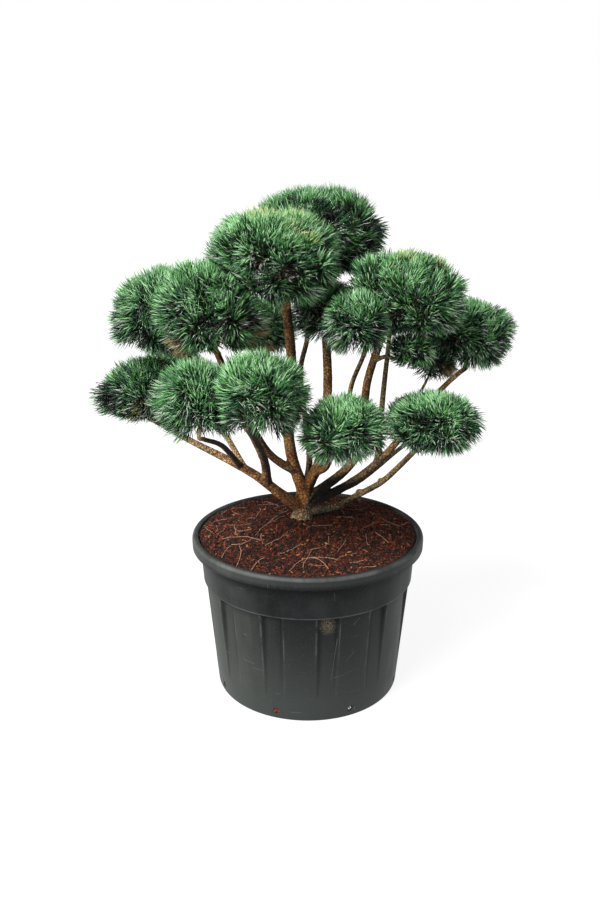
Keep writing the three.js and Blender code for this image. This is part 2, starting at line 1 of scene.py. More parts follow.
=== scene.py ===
"""The dressed model of a Scots pine trained as a many-stemmed bush of cushions, in a round nursery pot.

Metres, +Z up. The origin is the centre of the pot's flat underside, and -Y faces the camera.
"""
import json
import logging
import math
from contextlib import contextmanager
from dataclasses import dataclass, field
from enum import Enum
from typing import Callable, Iterator, Sequence

import bmesh
import bpy
import numpy as np
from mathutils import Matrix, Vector
from mathutils.bvhtree import BVHTree
from mathutils.kdtree import KDTree

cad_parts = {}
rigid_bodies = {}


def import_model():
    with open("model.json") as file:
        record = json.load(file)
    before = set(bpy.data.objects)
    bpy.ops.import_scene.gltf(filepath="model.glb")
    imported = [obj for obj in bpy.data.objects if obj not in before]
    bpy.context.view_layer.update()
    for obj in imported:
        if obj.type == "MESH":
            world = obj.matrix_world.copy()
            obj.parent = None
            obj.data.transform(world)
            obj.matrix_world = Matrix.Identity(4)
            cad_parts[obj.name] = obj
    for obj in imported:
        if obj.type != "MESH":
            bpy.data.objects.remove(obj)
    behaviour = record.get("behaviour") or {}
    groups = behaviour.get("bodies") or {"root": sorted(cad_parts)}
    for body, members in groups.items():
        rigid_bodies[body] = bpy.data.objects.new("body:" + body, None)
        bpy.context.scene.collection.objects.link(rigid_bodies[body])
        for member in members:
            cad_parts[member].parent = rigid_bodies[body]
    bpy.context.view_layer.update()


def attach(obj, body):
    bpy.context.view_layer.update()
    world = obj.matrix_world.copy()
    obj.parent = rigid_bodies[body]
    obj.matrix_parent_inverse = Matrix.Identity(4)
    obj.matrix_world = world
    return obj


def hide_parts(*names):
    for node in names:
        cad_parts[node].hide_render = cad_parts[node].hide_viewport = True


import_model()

LOG = logging.getLogger("pine")
BODY = "root"
SEED = 20417
GOLDEN_ANGLE = math.pi * (3 - math.sqrt(5))
UP = np.array((0.0, 0.0, 1.0))

Place = tuple[float, float, float]
Colour = tuple[float, float, float]


def tint(code: str) -> Colour:
    """Returns the linear colour of a six-digit web colour."""
    parts = [int(code[i:i + 2], 16) / 255 for i in (0, 2, 4)]
    return tuple(c / 12.92 if c <= 0.04045 else ((c + 0.055) / 1.055) ** 2.4 for c in parts)


class Slot(Enum):
    """The record's material slots."""

    POT = "pot"
    MIX = "growing_mix"
    BARK = "bark"
    NEEDLES = "needles"


# Shader nodes


class Wire:
    """A socket whose arithmetic operators add Math nodes to its material."""

    def __init__(self, loom: "Loom", socket: bpy.types.NodeSocket) -> None:
        """Keeps the socket and the material that it belongs to."""
        self.loom = loom
        self.socket = socket

    def _math(self, operation: str, first: "Value", second: "Value") -> "Wire":
        """Returns a Math node of two values."""
        return self.loom.node("ShaderNodeMath", {"operation": operation}, {0: first, 1: second})

    def __add__(self, other: "Value") -> "Wire":
        """Adds."""
        return self._math("ADD", self, other)

    __radd__ = __add__

    def __sub__(self, other: "Value") -> "Wire":
        """Takes away."""
        return self._math("SUBTRACT", self, other)

    def __rsub__(self, other: "Value") -> "Wire":
        """Takes this away from a number."""
        return self._math("SUBTRACT", other, self)

    def __mul__(self, other: "Value") -> "Wire":
        """Multiplies."""
        return self._math("MULTIPLY", self, other)

    __rmul__ = __mul__

    def __pow__(self, other: "Value") -> "Wire":
        """Raises to a power."""
        return self._math("POWER", self, other)


Value = Wire | float | Colour


class Loom:
    """One node tree, of a material or of the world."""

    def __init__(self, owner: bpy.types.Material | bpy.types.World, last: str = "Principled BSDF") -> None:
        """Turns the owner's nodes on and finds the shader that ends them.

        Args:
            owner: The material or the world.
            last: The name of its last shader.
        """
        owner.use_nodes = True
        self.owner = owner
        self.tree = owner.node_tree
        self.shader = self.tree.nodes[last]

    @classmethod
    def named(cls, name: str) -> "Loom":
        """Returns a new material's node tree."""
        return cls(bpy.data.materials.new(name))

    def node(self, kind: str, settings: dict | None = None, inputs: dict | None = None,
             output: int | str = 0) -> Wire:
        """Adds a node.

        Args:
            kind: The node's type.
            settings: What is set on the node first. "stops" holds a ramp's positions and colours.
            inputs: A value or a link for each socket, by its name or number.
            output: The socket that is handed on.

        Returns:
            The node's output.
        """
        made = self.tree.nodes.new(kind)
        for key, value in (settings or {}).items():
            if key == "stops":
                self._set_stops(made.color_ramp, value)
            else:
                setattr(made, key, value)
        for key, value in (inputs or {}).items():
            self.feed(made.inputs[key], value)
        return Wire(self, made.outputs[output])

    @staticmethod
    def _set_stops(ramp: bpy.types.ColorRamp, stops: Sequence[tuple[float, Colour]]) -> None:
        """Gives a ramp its stops.

        Args:
            ramp: The ramp.
            stops: The position and colour of each stop.
        """
        while len(ramp.elements) < len(stops):
            ramp.elements.new(1.0)
        for element, (position, colour) in zip(ramp.elements, stops):
            element.position = position
            element.color = (*colour, 1.0)

    def feed(self, socket: bpy.types.NodeSocket, value: Value) -> None:
        """Links a wire to a socket, or sets the socket's own value.

        Args:
            socket: The socket.
            value: A wire, a number or a colour.
        """
        if isinstance(value, Wire):
            self.tree.links.new(value.socket, socket)
        elif isinstance(value, tuple) and len(socket.default_value) == 4:
            socket.default_value = (*value, 1.0)
        else:
            socket.default_value = value

    def shade(self, **values: Value) -> bpy.types.Material:
        """Sets the shader's sockets, such as base_color, and returns the material.

        Args:
            values: A value or a wire for each socket, by its name in small letters.

        Returns:
            The tree's owner.
        """
        for key, value in values.items():
            self.feed(self.shader.inputs[key.replace("_", " ").title().replace("Ior", "IOR")], value)
        return self.owner

    def vector(self, operation: str, inputs: dict, output: str = "Vector") -> Wire:
        """Returns a sum with vectors."""
        return self.node("ShaderNodeVectorMath", {"operation": operation}, inputs, output)

    def place(self, stretch: Place = (1.0, 1.0, 1.0)) -> Wire:
        """Returns the Object coordinates, stretched along each axis."""
        own = self.node("ShaderNodeTexCoord", output="Object")
        return self.node("ShaderNodeMapping", {}, {"Vector": own, "Scale": stretch})

    def noise(self, place: Wire, scale: float, detail: float = 4.0, roughness: float = 0.55) -> Wire:
        """Returns cloudy noise from 0 to 1."""
        inputs = {"Vector": place, "Scale": scale, "Detail": detail, "Roughness": roughness}
        return self.node("ShaderNodeTexNoise", {}, inputs)

    def cells(self, place: Wire, scale: float, feature: str = "F1") -> Wire:
        """Returns a pattern of cells."""
        inputs = {"Vector": place, "Scale": scale}
        return self.node("ShaderNodeTexVoronoi", {"feature": feature}, inputs, "Distance")

    def ramp(self, value: Wire, *stops: tuple[float, Colour]) -> Wire:
        """Returns a colour by value."""
        return self.node("ShaderNodeValToRGB", {"stops": stops}, {"Fac": value})

    def between(self, value: Wire, low: float, high: float) -> Wire:
        """Returns 0 where a value is under low and 1 where it is over high."""
        inputs = {"Value": value, "From Min": low, "From Max": high}
        return self.node("ShaderNodeMapRange", {"clamp": True}, inputs)

    def mix(self, share: Value, first: Value, second: Value) -> Wire:
        """Returns a colour between two."""
        return self.node("ShaderNodeMix", {"data_type": "RGBA"}, {0: share, 6: first, 7: second}, 2)

    def bump(self, height: Wire, distance: float, strength: float = 1.0) -> Wire:
        """Returns a normal that follows a height."""
        inputs = {"Height": height, "Distance": distance, "Strength": strength}
        return self.node("ShaderNodeBump", {}, inputs)


# Finishes


@dataclass(frozen=True)
class PlainFinish:
    """One plain colour all over, for small things that are joined in their thousands."""

    name: str
    colour: str
    roughness: float = 0.5
    glow: float = 0.0

    def material(self) -> bpy.types.Material:
        """Makes the material.

        Returns:
            The material, in one plain colour.
        """
        loom = Loom.named(self.name)
        loom.shade(emission_color=(1.0, 1.0, 1.0), emission_strength=self.glow)
        return loom.shade(base_color=tint(self.colour), roughness=self.roughness)


@dataclass(frozen=True)
class BarkFinish:
    """Scaly bark: tan to orange plates between dark cracks, greyer where the limb's warmth is low, with
    painted light and shade by side.
    """

    name: str = "scaly_bark"
    plate_scale: float = 120.0
    crack_depth: float = 0.003

    def material(self) -> bpy.types.Material:
        """Makes the material.

        Returns:
            The material, which reads the mesh's own warmth and paleness, and its painted light and shade.
        """
        loom = Loom.named(self.name)
        place = loom.place()
        warmth = loom.node("ShaderNodeAttribute", {"attribute_name": "warmth"}, output="Fac")
        paleness = loom.node("ShaderNodeAttribute", {"attribute_name": "paleness"}, output="Fac")
        # Painted light: high on the bark's side towards the key light, low on the far and under sides and at
        # the fork.
        weather = loom.node("ShaderNodeAttribute", {"attribute_name": "weather"}, output="Fac")
        blotches = loom.noise(place, 34.0)
        flakes = loom.noise(place, 260.0, 3.0, 0.6)
        plates = loom.cells(place, self.plate_scale)
        edge = loom.cells(place, self.plate_scale, "DISTANCE_TO_EDGE")
        warm = loom.ramp(blotches, (0.28, tint("7a3512")), (0.45, tint("d2742c")),
                         (0.58, tint("eea553")), (0.75, tint("f8d596")))
        grey = loom.ramp(blotches, (0.28, tint("2e271b")), (0.45, tint("6b5a3e")),
                         (0.6, tint("9c875f")), (0.78, tint("c4b084")))
        lichen = loom.ramp(flakes, (0.35, tint("6f6647")), (0.65, tint("d9d3b4")))
        skin = loom.mix(loom.between(warmth + (blotches - 0.5) * 0.8, 0.25, 0.75), grey, warm)
        scaled = loom.mix(loom.between(flakes, 0.48, 0.68) * 0.6, skin, tint("e3c795"))
        scaled = loom.mix(loom.between(flakes, 0.47, 0.36) * 0.4, scaled, tint("2a160b"))
        # Painted highlight: a bright tan mixed in on the side towards the key light; painted shade:
        # near-black mixed in on the far and under sides and at the fork.
        sunny = loom.between(weather + (blotches - 0.5) * 0.6, 0.3, 0.85)
        painted_shade = loom.between(weather + (flakes - 0.5) * 0.5, 0.3, -0.35)
        painted_sunlight = loom.mix(loom.between(warmth, 0.35, 0.85), tint("e8c88f"), tint("ffb062"))
        scaled = loom.mix(sunny * 0.75, scaled, painted_sunlight)
        scaled = loom.mix(painted_shade * 0.97, scaled, tint("090503"))
        scaled = loom.mix(paleness, scaled, lichen)
        cracked = loom.mix(loom.between(edge, 0.0, 0.12) * 0.75 + 0.25, tint("1d120b"), scaled)
        height = plates * -0.6 + loom.between(edge, 0.0, 0.2) + flakes * 0.6
        return loom.shade(base_color=cracked, roughness=0.82, normal=loom.bump(height, self.crack_depth))


@dataclass(frozen=True)
class PotFinish:
    """Moulded black plastic: paler towards the foot, dusted and with painted sheen at the sides, painted
    shade under its edges, in the hollows' corners and in a notch, and painted highlights, partly wear, on
    the edges.
    """

    name: str = "weathered_plastic"
    black: str = "08090a"
    # The grey of the dusting and of the painted sheen at the sides.
    dust_and_sheen_grey: str = "4c4f4b"
    pale: str = "8c9088"
    # The pale of the painted highlights on the edges, partly wear.
    rubbed_and_highlight: str = "8f928f"
    # The near-black of the painted shade and painted shadow.
    painted_shade_black: str = "020303"
    mud: str = "8d8064"
    band: tuple[float, float] = (0.299, 0.388)
    rim_top: float = 0.418
    flute: tuple[float, float] = (30.0, 16.5)
    smudge: Place = (0.047, -0.262, 0.273)
    notch: Place = (-0.071, -0.288, 0.391)
    scratches: tuple[tuple[Place, Place], ...] = (
        ((0.062, 0.0, 0.125), (0.120, 0.0, 0.142)), ((0.092, 0.0, 0.168), (0.112, 0.0, 0.192)),
        ((0.056, 0.0, 0.118), (0.070, 0.0, 0.235)), ((-0.160, 0.0, 0.152), (-0.132, 0.0, 0.149)),
        ((0.108, 0.0, 0.270), (0.124, 0.0, 0.286)),
    )

    def material(self) -> bpy.types.Material:
        """Makes the material.

        Returns:
            The material, patterned by height, by side and by the turn of the flutes.
        """
        loom = Loom.named(self.name)
        place = loom.place()
        across, depth, height = (
            loom.node("ShaderNodeSeparateXYZ", {}, {"Vector": place}, axis) for axis in "XYZ")
        foot, head = self.band
        body = loom.between(height, foot, foot - 0.001)
        on_rim = loom.between(height, head, head + 0.002)
        on_band = 1.0 - body - on_rim
        streaks = loom.noise(loom.place((9.0, 9.0, 1.0)), 2.6, 6.0, 0.65)
        clouds = loom.noise(place, 9.0, 6.0, 0.62)
        specks = loom.noise(place, 420.0, 2.0)
        wear = loom.between(streaks * 0.6 + clouds * 0.55, 0.42, 0.74)
        colour = loom.ramp(height, (0.05, tint("343836")), (0.15, tint("282b2a")), (0.22, tint("1b1e1e")),
                           (0.29, tint(self.black)), (0.388, tint(self.black)), (0.40, tint("2a2c2c")))
        colour = loom.mix(on_band * loom.between(clouds, 0.4, 0.7) * 0.5, colour, tint("2e3134"))
        # Painted sheen: paler towards the left and right edges, more on the left, the key light's side; the
        # wear pattern breaks it up as dusting.
        sides = loom.between(across * -1.0, 0.04, 0.24) * 0.85 + loom.between(across, 0.12, 0.26) * 0.5
        dust_and_sheen = wear * (sides * 0.85 + 0.12) * (1.0 - on_band * 0.5)
        colour = loom.mix(dust_and_sheen, colour, tint(self.dust_and_sheen_grey))
        colour = self._edges(loom, colour, height, body, wear)
        colour = self._flute_lines(loom, colour, across, depth, height)
        hairs = loom.noise(loom.place((1.0, 1.0, 14.0)), 11.0, 3.0, 0.4)
        drops = loom.noise(loom.place((20.0, 20.0, 1.3)), 7.0, 2.0, 0.4)
        marks = loom.between(hairs, 0.735, 0.75) * 0.2 + loom.between(drops, 0.76, 0.78) * 0.2
        marks = marks + self._scratched(loom, depth, clouds)
        colour = loom.mix(loom.between(specks, 0.62, 0.8) * 0.22 + marks, colour, tint(self.pale))
        spot = self._near(loom, place, self.smudge, 0.012 + (clouds - 0.5) * 0.05, 0.016)
        colour = loom.mix(spot * loom.between(specks, 0.42, 0.62) * 0.6, colour, tint(self.mud))
        # Painted shade: a near-black spot where a small notch cuts the rim's lower edge.
        colour = loom.mix(self._near(loom, place, self.notch, 0.0025, 0.002), colour, tint(self.painted_shade_black))
        relief = loom.bump(specks * 0.5 + clouds * 2.0, 0.0004, 0.6)
        roughness = wear * 0.2 + 0.42
        return loom.shade(base_color=colour, roughness=roughness, specular_ior_level=0.13, normal=relief)

    def _edges(self, loom: Loom, colour: Wire, height: Wire, body: Wire, wear: Wire) -> Wire:
        """Paints shadow under the rim and under the band, paints shade on the rim's lower part, and paints
        highlights, partly wear, on their edges.

        Args:
            loom: The material's node tree.
            colour: The colour so far.
            height: The height.
            body: 1 on the body and 0 over it.
            wear: The pattern of the wear.

        Returns:
            The colour.
        """
        foot, head = self.band
        # Painted shadow under the rim's overhang and under the band.
        under_rim = loom.between(height, head - 0.036, head - 0.014)
        under_rim = under_rim * loom.between(height, head + 0.001, head)
        shadow_under_band = loom.between(height, foot - 0.02, foot - 0.002) * body
        colour = loom.mix(under_rim * 0.9 + shadow_under_band * 0.6, colour, tint(self.painted_shade_black))
        # Painted shade: the rim's lower part darker.
        low_rim = loom.between(height, head + 0.011, head + 0.001)
        low_rim = low_rim * loom.between(height, head - 0.001, head)
        colour = loom.mix(low_rim * 0.5, colour, tint(self.black))
        # Painted highlights along the rim's crown and the band's foot, patchy with the wear pattern.
        top = self.rim_top
        crown = loom.between(height, top - 0.010, top - 0.006) * loom.between(height, top, top - 0.002)
        ledge = loom.between(height, foot - 0.001, foot + 0.001)
        ledge = ledge * loom.between(height, foot + 0.004, foot + 0.002)
        share = crown * (wear * 0.3 + 0.05) + ledge * (wear * 0.2 + 0.06)
        return loom.mix(share, colour, tint(self.rubbed_and_highlight))

    def _flute_lines(self, loom: Loom, colour: Wire, across: Wire, depth: Wire, height: Wire) -> Wire:
        """Paints shade in the hollows' corners and paints highlights, in patches, on the ribs' corners.

        Args:
            loom: The material's node tree.
            colour: The colour so far.
            across: The place from left to right.
            depth: The place from front to back.
            height: The height.

        Returns:
            The colour.
        """
        step, turn = (math.radians(angle) for angle in self.flute)
        angle = loom.node("ShaderNodeMath", {"operation": "ARCTAN2"}, {0: depth, 1: across})
        turns = (angle + (math.tau - turn + math.pi / 2)) * (1 / step)
        share = loom.node("ShaderNodeMath", {"operation": "FRACT"}, {0: turns})
        fade = loom.between(height, 0.07, 0.25) * loom.between(height, self.band[0], self.band[0] - 0.002)
        # Painted shade in the hollows' corners.
        painted_corner_shade = loom.between(share, 0.60, 0.63) * loom.between(share, 0.72, 0.63)
        painted_corner_shade = painted_corner_shade + loom.between(share, 0.90, 0.965) * loom.between(share, 0.99, 0.975)
        # Painted highlights on the ribs' corners, in patches.
        rubbed_and_highlight = loom.between(share, 0.56, 0.59) * loom.between(share, 0.615, 0.595)
        patches = loom.between(loom.noise(loom.place(), 17.0), 0.4, 0.6)
        rubbed_and_highlight = (rubbed_and_highlight + loom.between(share, 0.03, 0.005)) * patches
        colour = loom.mix(painted_corner_shade * fade * 0.6, colour, tint(self.painted_shade_black))
        return loom.mix(rubbed_and_highlight * fade * 0.22, colour, tint(self.rubbed_and_highlight))

    def _scratched(self, loom: Loom, depth: Wire, clouds: Wire) -> Wire:
        """Draws the fine scratches on the front.

        Args:
            loom: The material's node tree.
            depth: The place from front to back.
            clouds: A pattern that breaks the lines up.

        Returns:
            How much paler the plastic is.
        """
        flat = loom.place((1.0, 0.0, 1.0))
        lines = []
        for start, end in self.scratches:
            along = tuple(b - a for a, b in zip(start, end))
            long = math.dist(start, end)
            away = loom.vector("SUBTRACT", {0: flat, 1: start})
            share = loom.between(loom.vector("DOT_PRODUCT", {0: away, 1: along}, "Value"), 0.0, long * long)
            on_line = loom.vector("SCALE", {0: along, "Scale": share})
            gap = loom.vector("DISTANCE", {0: away, 1: on_line}, "Value")
            lines.append(loom.between(gap, 0.0012, 0.0003))
        broken = loom.between(depth, 0.0, -0.02) * loom.between(clouds, 0.35, 0.6)
        return sum(lines[1:], lines[0]) * broken * 0.22

    @staticmethod
    def _near(loom: Loom, place: Wire, middle: Place, reach: Value, soft: float) -> Wire:
        """Marks a spot.

        Args:
            loom: The material's node tree.
            place: The place.
            middle: The spot's middle.
            reach: How far the spot reaches.
            soft: How wide its soft edge is.

        Returns:
            1 in the spot and 0 away from it.
        """
        away = loom.vector("DISTANCE", {0: place, 1: middle}, "Value")
        return loom.between(away - reach, soft, 0.0)


@dataclass(frozen=True)
class MixFinish:
    """Damp bark and coir fines, red-brown, with painted shade, nearly black, in the hollows."""

    name: str = "growing_mix_fines"

    def material(self) -> bpy.types.Material:
        """Makes the material.

        Returns:
            The material, with crumbs and hollows.
        """
        loom = Loom.named(self.name)
        place = loom.place()
        crumbs = loom.cells(place, 210.0)
        shade = loom.noise(place, 90.0, 4.0, 0.7)
        broad = loom.noise(place, 9.0, 3.0)
        # Painted shade: the darkest tones fall where the bump sinks, in the hollows between crumbs.
        colour = loom.ramp(shade, (0.36, tint("060201")), (0.52, tint("3c190c")), (0.66, tint("7e3d1f")))
        colour = loom.mix(loom.between(broad, 0.5, 0.75) * 0.5, colour, tint("1c0d09"))
        colour = loom.mix(loom.between(crumbs, 0.3, 0.65) * 0.7, colour, tint("060302"))
        height = crumbs * -1.0 + shade * 1.4
        return loom.shade(base_color=colour, roughness=0.95, normal=loom.bump(height, 0.003))


# Modelling


class Workshop:
    """Modelling operators, each on one object with everything else deselected."""

    @staticmethod
    def take(piece: bpy.types.Object) -> None:
        """Selects one object and nothing else.

        Args:
            piece: The object.
        """
        bpy.ops.object.select_all(action="DESELECT")
        piece.select_set(True)
        bpy.context.view_layer.objects.active = piece

    @staticmethod
    def added(operator: Callable, name: str, **settings: object) -> bpy.types.Object:
        """Adds a primitive with everything else deselected and returns it under its name.

        Args:
            operator: The operator that adds it.
            name: The name of the object and its mesh.
            settings: The operator's settings.

        Returns:
            The new object.
        """
        bpy.ops.object.select_all(action="DESELECT")
        operator(**settings)
        piece = bpy.context.object
        piece.name = name
        piece.data.name = name
        return piece

    @staticmethod
    @contextmanager
    def editing(piece: bpy.types.Object) -> Iterator[None]:
        """Edits one mesh with its vertices selectable.

        Args:
            piece: The object whose mesh is edited.

        Yields:
            Nothing, while the mesh is in edit mode.
        """
        Workshop.take(piece)
        bpy.ops.object.mode_set(mode="EDIT")
        bpy.ops.mesh.select_mode(type="VERT")
        yield
        bpy.ops.object.mode_set(mode="OBJECT")

    @staticmethod
    def choose(piece: bpy.types.Object, test: Callable[[Vector], bool]) -> int:
        """Selects the vertices that pass a test of their place, in edit mode.

        Args:
            piece: The object in edit mode.
            test: Says of a place whether its vertex is selected.

        Returns:
            How many vertices are selected.
        """
        shape = bmesh.from_edit_mesh(piece.data)
        for vertex in shape.verts:
            vertex.select = test(vertex.co)
        shape.select_flush_mode()
        bmesh.update_edit_mesh(piece.data)
        return sum(vertex.select for vertex in shape.verts)

    @staticmethod
    def modify(piece: bpy.types.Object, kind: str, **settings: object) -> None:
        """Adds a modifier with its settings and applies it.

        Args:
            piece: The object.
            kind: The modifier's type.
            settings: The modifier's settings.
        """
        Workshop.take(piece)
        modifier = piece.modifiers.new(kind.lower(), kind)
        for key, value in settings.items():
            setattr(modifier, key, value)
        bpy.ops.object.modifier_apply(modifier=modifier.name)

    @staticmethod
    def settle(piece: bpy.types.Object) -> bpy.types.Object:
        """Applies an object's place and turn to its mesh.

        Args:
            piece: The object.

        Returns:
            The same object.
        """
        Workshop.take(piece)
        bpy.ops.object.transform_apply(location=True, rotation=True, scale=True)
        return piece

    @staticmethod
    def join(pieces: Sequence[bpy.types.Object]) -> bpy.types.Object:
        """Joins objects into the first of them.

        Args:
            pieces: The objects.

        Returns:
            The joined object.
        """
        bpy.ops.object.select_all(action="DESELECT")
        for piece in pieces:
            piece.select_set(True)
        bpy.context.view_layer.objects.active = pieces[0]
        bpy.ops.object.join()
        return pieces[0]

    @staticmethod
    def cut(piece: bpy.types.Object, tool: bpy.types.Object) -> None:
        """Cuts a tool's shape out of a piece and removes the tool."""
        Workshop.modify(piece, "BOOLEAN", operation="DIFFERENCE", solver="EXACT", object=tool)
        bpy.data.objects.remove(tool)

    @staticmethod
    def turned(name: str, profile: Sequence[tuple[float, float]], columns: int,
               turn: float) -> bpy.types.Object:
        """Models a closed round body ring by ring, from its underside's middle to its last ring's middle.

        Args:
            name: The body's name.
            profile: The radius and height of each ring.
            columns: How many vertices a ring has.
            turn: How far the first vertex is turned about Z.

        Returns:
            The body.
        """
        radius, height = profile[0]
        circle = dict(vertices=columns, radius=radius, fill_type="TRIFAN", location=(0, 0, height))
        piece = Workshop.added(bpy.ops.mesh.primitive_circle_add, name, rotation=(0, 0, turn), **circle)
        Workshop.settle(piece)
        with Workshop.editing(piece):
            Workshop.choose(piece, lambda place: math.hypot(place.x, place.y) > radius / 2)
            for wide, high in profile[1:]:
                bpy.ops.mesh.extrude_edges_move(TRANSFORM_OT_translate={"value": (0, 0, high - height)})
                scale = wide / radius
                bpy.ops.transform.resize(value=(scale, scale, 1), center_override=(0, 0, high))
                radius, height = wide, high
            bpy.ops.mesh.extrude_edges_move(TRANSFORM_OT_translate={"value": (0, 0, 0)})
            bpy.ops.mesh.merge(type="CENTER")
            bpy.ops.mesh.select_all(action="SELECT")
            bpy.ops.mesh.normals_make_consistent(inside=False)
        return piece

    @staticmethod
    def from_arrays(name: str, points: np.ndarray, faces: np.ndarray,
                    smooth: bool = True) -> bpy.types.Object:
        """Makes one object of many small joined things.

        Args:
            name: The object's name.
            points: The corners, one row each.
            faces: The triangles, one row of three corner numbers each.
            smooth: Whether the faces are shaded smooth.

        Returns:
            The object.
        """
        mesh = bpy.data.meshes.new(name)
        mesh.vertices.add(len(points))
        mesh.vertices.foreach_set("co", points.astype(np.float32).ravel())
        mesh.loops.add(faces.size)
        mesh.loops.foreach_set("vertex_index", faces.astype(np.int32).ravel())
        mesh.polygons.add(len(faces))
        mesh.polygons.foreach_set("loop_start", np.arange(len(faces), dtype=np.int32) * 3)
        mesh.update(calc_edges=True)
        mesh.polygons.foreach_set("use_smooth", np.full(len(faces), smooth))
        piece = bpy.data.objects.new(name, mesh)
        bpy.context.scene.collection.objects.link(piece)
        return piece

    @staticmethod
    def dress(piece: bpy.types.Object, finish: object, slot: Slot, nodes: Sequence[str]) -> None:
        """Gives a piece its finish and body, and hides the CAD nodes that it stands for.

        Args:
            piece: The finished piece.
            finish: The finish that makes its material.
            slot: Not used.
            nodes: The CAD nodes that the piece replaces.
        """
        piece.data.materials.clear()
        piece.data.materials.append(finish.material())
        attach(piece, BODY)
        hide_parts(*nodes)
        piece.data.calc_loop_triangles()
        LOG.info("%s: %d triangles", piece.name, len(piece.data.loop_triangles))


# Growth, by the rule of the part's source


@dataclass(frozen=True)
class Route:
    """A smooth curve through places, known by the share of its length."""

    points: np.ndarray
    marks: np.ndarray

    @classmethod
    def through(cls, places: Sequence[Sequence[float]], steps: int = 60) -> "Route":
        """Returns the centripetal curve through places.

        Args:
            places: The places that it passes.
            steps: How many short steps each stretch is measured in.

        Returns:
            The route.
        """
        knots = [np.asarray(place, float) for place in places]
        knots = [2 * knots[0] - knots[1], *knots, 2 * knots[-1] - knots[-2]]
        rows = []
        for a, b, c, d in zip(knots, knots[1:], knots[2:], knots[3:]):
            before, own, after = (math.sqrt(np.linalg.norm(q - p)) for p, q in ((a, b), (b, c), (c, d)))
            leaving = ((b - a) / before - (c - a) / (before + own) + (c - b) / own) * own
            arriving = ((c - b) / own - (d - b) / (own + after) + (d - c) / after) * own
            t = np.linspace(0, 1, steps + 1)[:, None]
            cube = 2 * b - 2 * c + leaving + arriving
            square = -3 * b + 3 * c - 2 * leaving - arriving
            rows.append((b + leaving * t + square * t ** 2 + cube * t ** 3)[bool(rows):])
        points = np.concatenate(rows)
        lengths = np.linalg.norm(np.diff(points, axis=0), axis=1)
        return cls(points, np.concatenate(([0.0], np.cumsum(lengths))))

    @property
    def length(self) -> float:
        """The curve's length."""
        return float(self.marks[-1])

    def at(self, shares: np.ndarray | float) -> np.ndarray:
        """Returns the places at some shares of the length."""
        along = np.asarray(shares) * self.length
        return np.stack([np.interp(along, self.marks, self.points[:, i]) for i in range(3)], axis=-1)

    def heading(self) -> np.ndarray:
        """Returns the direction at the curve's end."""
        return unit(self.points[-1] - self.points[-2])


def unit(vectors: np.ndarray) -> np.ndarray:
    """Returns vectors at length 1."""
    return vectors / np.maximum(np.linalg.norm(vectors, axis=-1, keepdims=True), 1e-12)


def sides_of(axes: np.ndarray) -> tuple[np.ndarray, np.ndarray]:
    """Returns two directions at right angles to each axis and to each other.

    Args:
        axes: The axes, at length 1.

    Returns:
        The two directions for each axis.
    """
    helper = np.where(np.abs(axes[..., 2:3]) > 0.95, np.array((1.0, 0.0, 0.0)), UP)
    side = unit(np.cross(helper, axes))
    return side, np.cross(axes, side)


@dataclass(frozen=True)
class Limb:
    """The trunk or a bough: a route with a taper, its parent, and how warm its bark is from foot to tip."""

    name: str
    parent: str
    share: float
    radii: tuple[float, float]
    bends: tuple[Place, ...]
    warmth: tuple[float, float] = (0.6, 0.4)
    collar: float = 0.28
    collar_length: float = 0.026
    power: float = 1.2

    def radius_at(self, shares: np.ndarray, length: float) -> np.ndarray:
        """Returns the radius at some shares of a limb's length.

        Args:
            shares: The shares.
            length: The limb's length.

        Returns:
            The radii, with the swelling at the foot.
        """
        thick, thin = self.radii
        swelling = thick * self.collar * np.exp(-shares * length / self.collar_length)
        return thin + (thick - thin) * (1 - shares) ** self.power + swelling


TRUNK_FOOT = np.array((-0.015, 0.026, 0.4403))
TRUNK = Limb("trunk", "", 0.0, (0.024, 0.022), ((0.003, 0.003, 0.036), (0.010, 0.008, 0.084)), (0.75, 0.8),
             collar=0.333, collar_length=0.0094, power=1.0)

